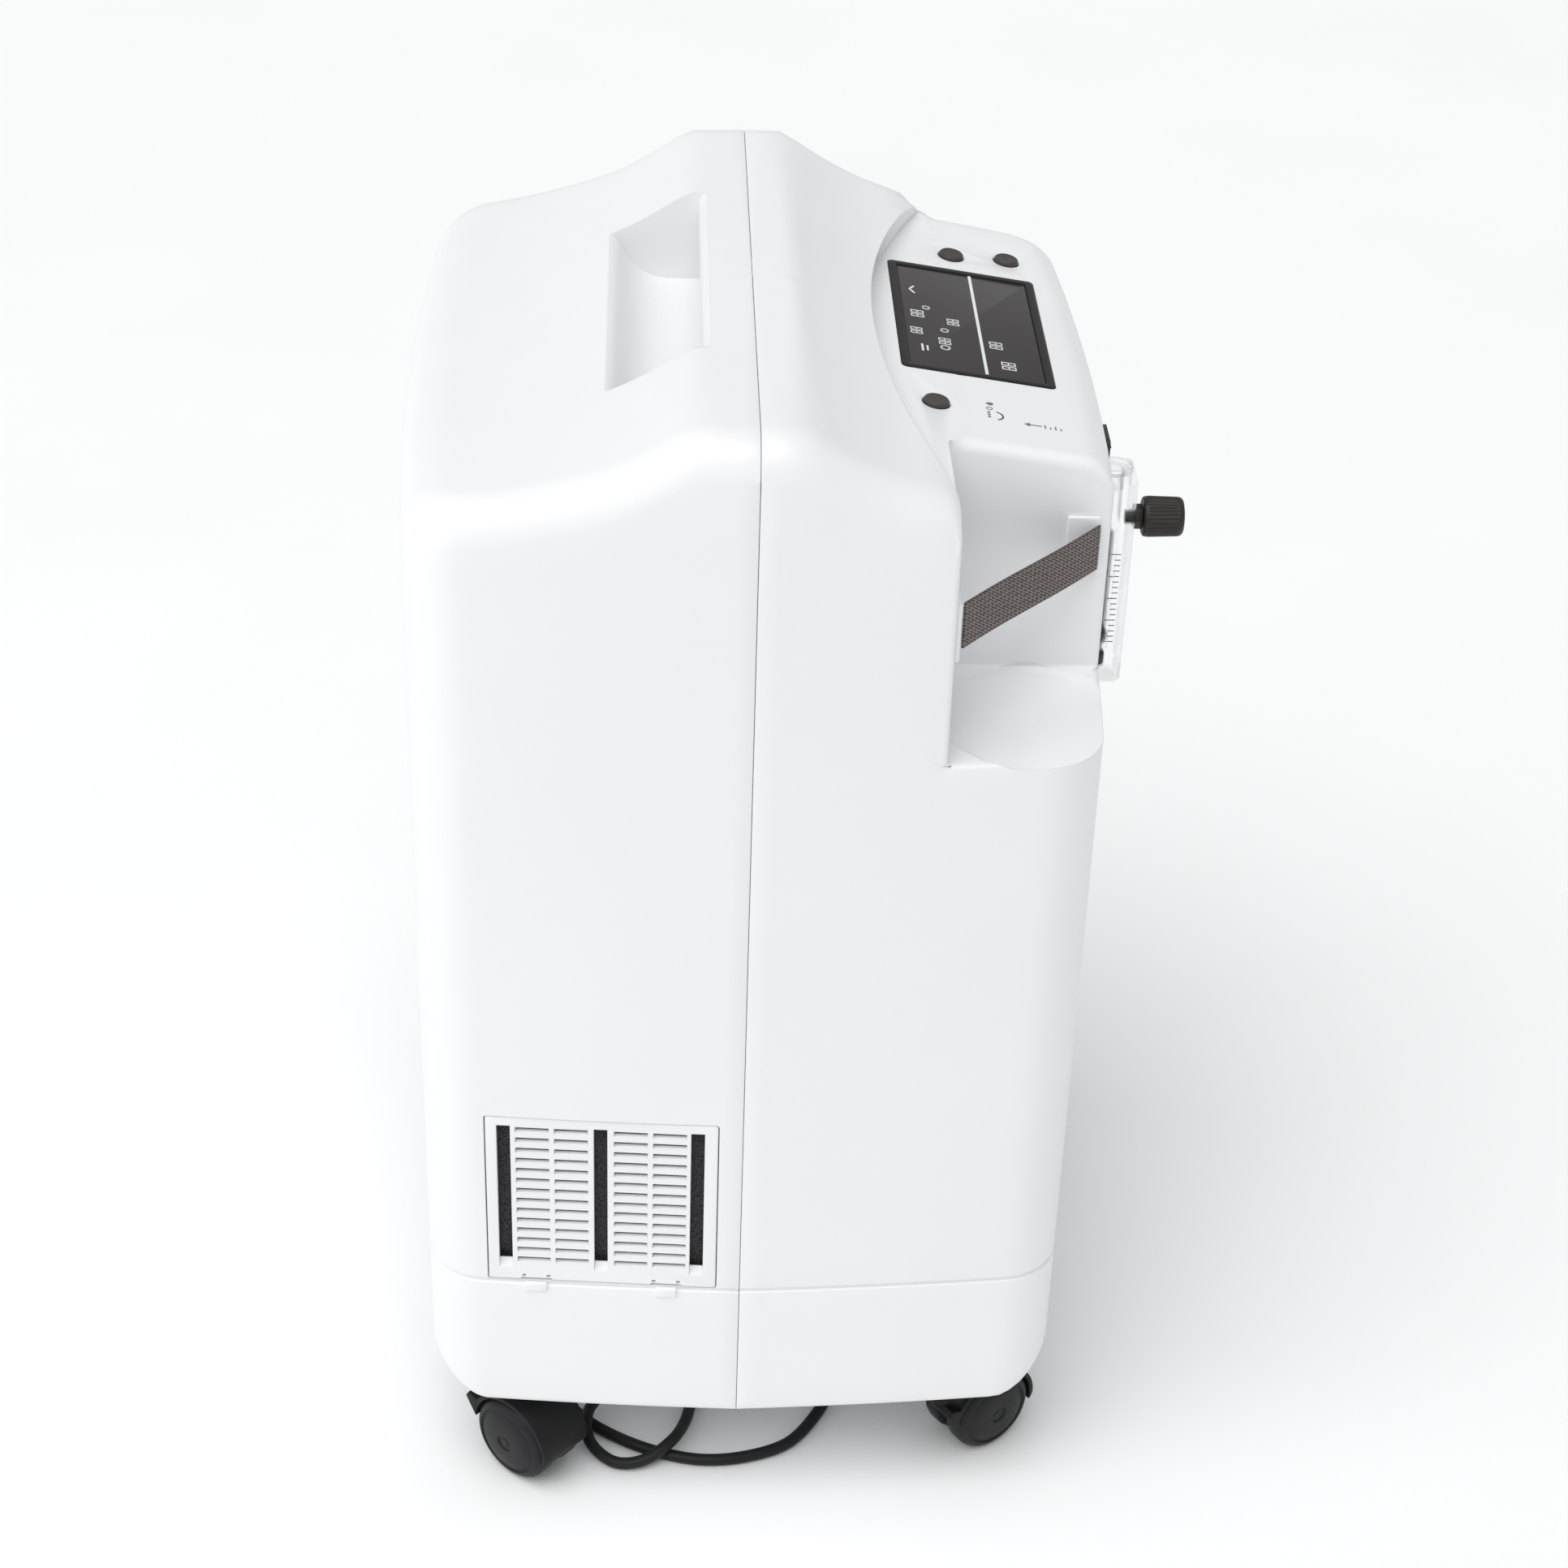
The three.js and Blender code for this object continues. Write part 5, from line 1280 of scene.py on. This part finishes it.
# graduated scale, inlaid on the block's left face, and the dark joint at the foot
ticks = []
left_x = FLOWMETER_X - fw / 2
for k in range(17):
    z = FLOWMETER_FOOT_Z + 24 + 3.1 * k
    reach = 5.0 if k % 4 == 0 else 3.0
    ticks.append(box((left_x - 0.12, meter_y - 5.2, z), (left_x + 0.02, meter_y - 5.2 + reach, z + 0.5)))
scale = mesh_of("scale", *gathered(ticks))
piece("flowmeter_scale", scale, "cabinet", "bezel_black", "print_grey", smooth=0)
backing = box((FLOWMETER_X + 6.4, meter_y - 4.2, FLOWMETER_FOOT_Z + 16),
              (FLOWMETER_X + 8.0, meter_y + 4.2, FLOWMETER_FOOT_Z + 76))
backing = softened(link(mesh_of("back", *backing), "back"), 0.4, 2)
piece("flowmeter_scale_back", backing, "cabinet", "bezel_black", "scale_grey")
foot = turned([(0, 0), (3.4, 0), (3.6, 0.4), (3.6, 6.4), (3.2, 7), (0, 7)], 32)
foot = mesh_of("inlet", *shifted(foot, FLOWMETER_X, meter_y, FLOWMETER_FOOT_Z + 4))
piece("flowmeter_inlet", foot, "cabinet", "steel", "knob_black")


def on_valve(shape, y):
    """Turns a shape about z to the front and puts it on the valve's axis at y."""
    return shifted(moved(shape, TO_FRONT), FLOWMETER_X, y, KNOB_Z)


nut = link(mesh_of("nut", *on_valve(prism(hexagon(6.3), 0.4, 4.9), FLOWMETER_FRONT_Y)), "nut")
cut(nut, [cutter(on_valve(turned([(0, -1), (3.5, -1), (3.5, 9), (0, 9)], 32), FLOWMETER_FRONT_Y))])
piece("valve_collar", softened(nut, 0.4, 2), "flow_control", "knob_black")
stem = turned([(0, 0), (3.1, 0), (3.4, 0.4), (3.4, 11), (0, 11)], 32)
stem = mesh_of("stem", *on_valve(stem, FLOWMETER_FRONT_Y + 3.7))
piece("valve_stem", stem, "flow_control", "brass", "knob_black", stands_for=["flow_valve_stem"])


def knob():
    """Fluted knob along its own axis, back face at 0."""
    ribs, per = 30, 8
    rings = []
    stations = [(0.2, 6.6, 0), (0.0, 7.4, 0), (0.0, 8.9, 0), (0.4, 9.6, 0), (1.2, 9.9, 0), (2.2, 10.0, 0.5),
                (3.2, 10.1, 1), (16.0, 9.75, 1), (17.2, 9.7, 0.4), (18.2, 9.6, 0), (19.2, 9.1, 0),
                (19.8, 8.3, 0), (20.0, 7.4, 0), (19.6, 6.4, 0), (19.5, 2, 0)]
    for z, radius, flute in stations:
        ring = []
        for i in range(ribs * per):
            a = 2 * math.pi * i / (ribs * per)
            wave = 0.5 - 0.5 * math.cos(a * ribs)
            r = radius - 0.5 * flute * wave ** 2
            ring.append((r * math.cos(a), r * math.sin(a), z))
        rings.append(ring)
    return solid(rings)


KNOB_BACK_Y = -192
grip = link(mesh_of("knob", *on_valve(knob(), KNOB_BACK_Y)), "knob")
cut(grip, [cutter(on_valve(turned([(0, -1), (3.7, -1), (3.7, 3), (0, 3)], 32), KNOB_BACK_Y))])
piece("knob_grip", grip, "flow_control", "knob_black", smooth=40, stands_for=["flow_knob"])

# ------------------------------------------------------------------ oxygen outlet, screws
outlet = [(0, 0), (8.6, 0), (9, 0.4), (9, 2.6), (8.6, 3), (5.4, 3.2), (5, 3.6), (5, 6), (3.2, 6.4), (3.1, 7)]
for k in range(3):
    outlet += [(4.3, 7.6 + 3 * k), (3.2, 10.2 + 3 * k)]
outlet += [(2.9, 16.8), (2.4, 17), (1.6, 17), (1.5, 16.4), (1.5, 4), (0, 4)]
outlet_y = front_face_y(OUTLET[0]) + OUTLET_DEPTH - 0.3
outlet = shifted(moved(turned(outlet, 48), TO_FRONT), OUTLET[0], outlet_y, OUTLET[1])
piece("outlet_barb", mesh_of("outlet", *outlet), "cabinet", "steel", stands_for=["oxygen_outlet"])
head = [(0, -9), (1.9, -9), (1.9, 0), (4.2, 0), (4.5, 0.4), (4.4, 1.2), (3.4, 1.8), (1.6, 2.05), (0, 2.1)]
for name, (x, z) in SCREWS.items():
    shape = shifted(moved(turned(head, 36), TO_REAR), x, rear_face_y(x) - 2.1, z)
    screw = link(mesh_of("screw", *shape), "screw")
    cross = []
    for wide, tall in ((3.6, 0.8), (0.8, 3.6)):
        cross.append(cutter(box((x - wide / 2, rear_face_y(x) - 1.2, z - tall / 2),
                                (x + wide / 2, rear_face_y(x) + 4, z + tall / 2))))
    cut(screw, cross)
    piece(f"{name}_head", screw, "cabinet", "steel", stands_for=[name])


# ------------------------------------------------------------------ floor and light
floor_mesh = bpy.data.meshes.new("floor")
floor_mesh.from_pydata([(-12, -12, 0), (12, -12, 0), (12, 12, 0), (-12, 12, 0)], [], [(0, 1, 2, 3)])
floor = link(floor_mesh, "floor")
floor_paint, floor_nodes, floor_links, floor_shader = tree_of("floor")
tone = noise_of(floor_nodes, floor_links, 3, 3)
floor_links.new(two_tones(floor_nodes, floor_links, tone, (0.93, 0.93, 0.93), (0.95, 0.95, 0.95)),
                floor_shader.inputs["Base Color"])
dial(floor_shader, {"Roughness": 0.8, "Specular IOR Level": 0.1})
floor.data.materials.append(floor_paint)

world = bpy.data.worlds.new("studio")
world.use_nodes = True
dial(world.node_tree.nodes["Background"], {"Color": (0.98, 0.99, 1.0, 1), "Strength": 0.5})
bpy.context.scene.world = world


def lamp(name, kind, power, towards, place=(0, 0, 0)):
    """A light that shines in a direction, from a place where that matters."""
    data = bpy.data.lights.new(name, kind)
    data.energy = power
    light = link(data, name)
    light.location = place
    light.rotation_euler = Vector(towards).to_track_quat("-Z", "Y").to_euler()
    return data


lamp("overhead", "SUN", 1.75, (0.33, -0.22, -0.9)).angle = math.radians(50)
softbox = lamp("rear_softbox", "AREA", 10, (0.8, -2.15, -0.55), (-0.9, 2.3, 0.9))
softbox.shape = "RECTANGLE"
softbox.size, softbox.size_y = 1.2, 1.6
bpy.context.scene.view_settings.view_transform = "Standard"
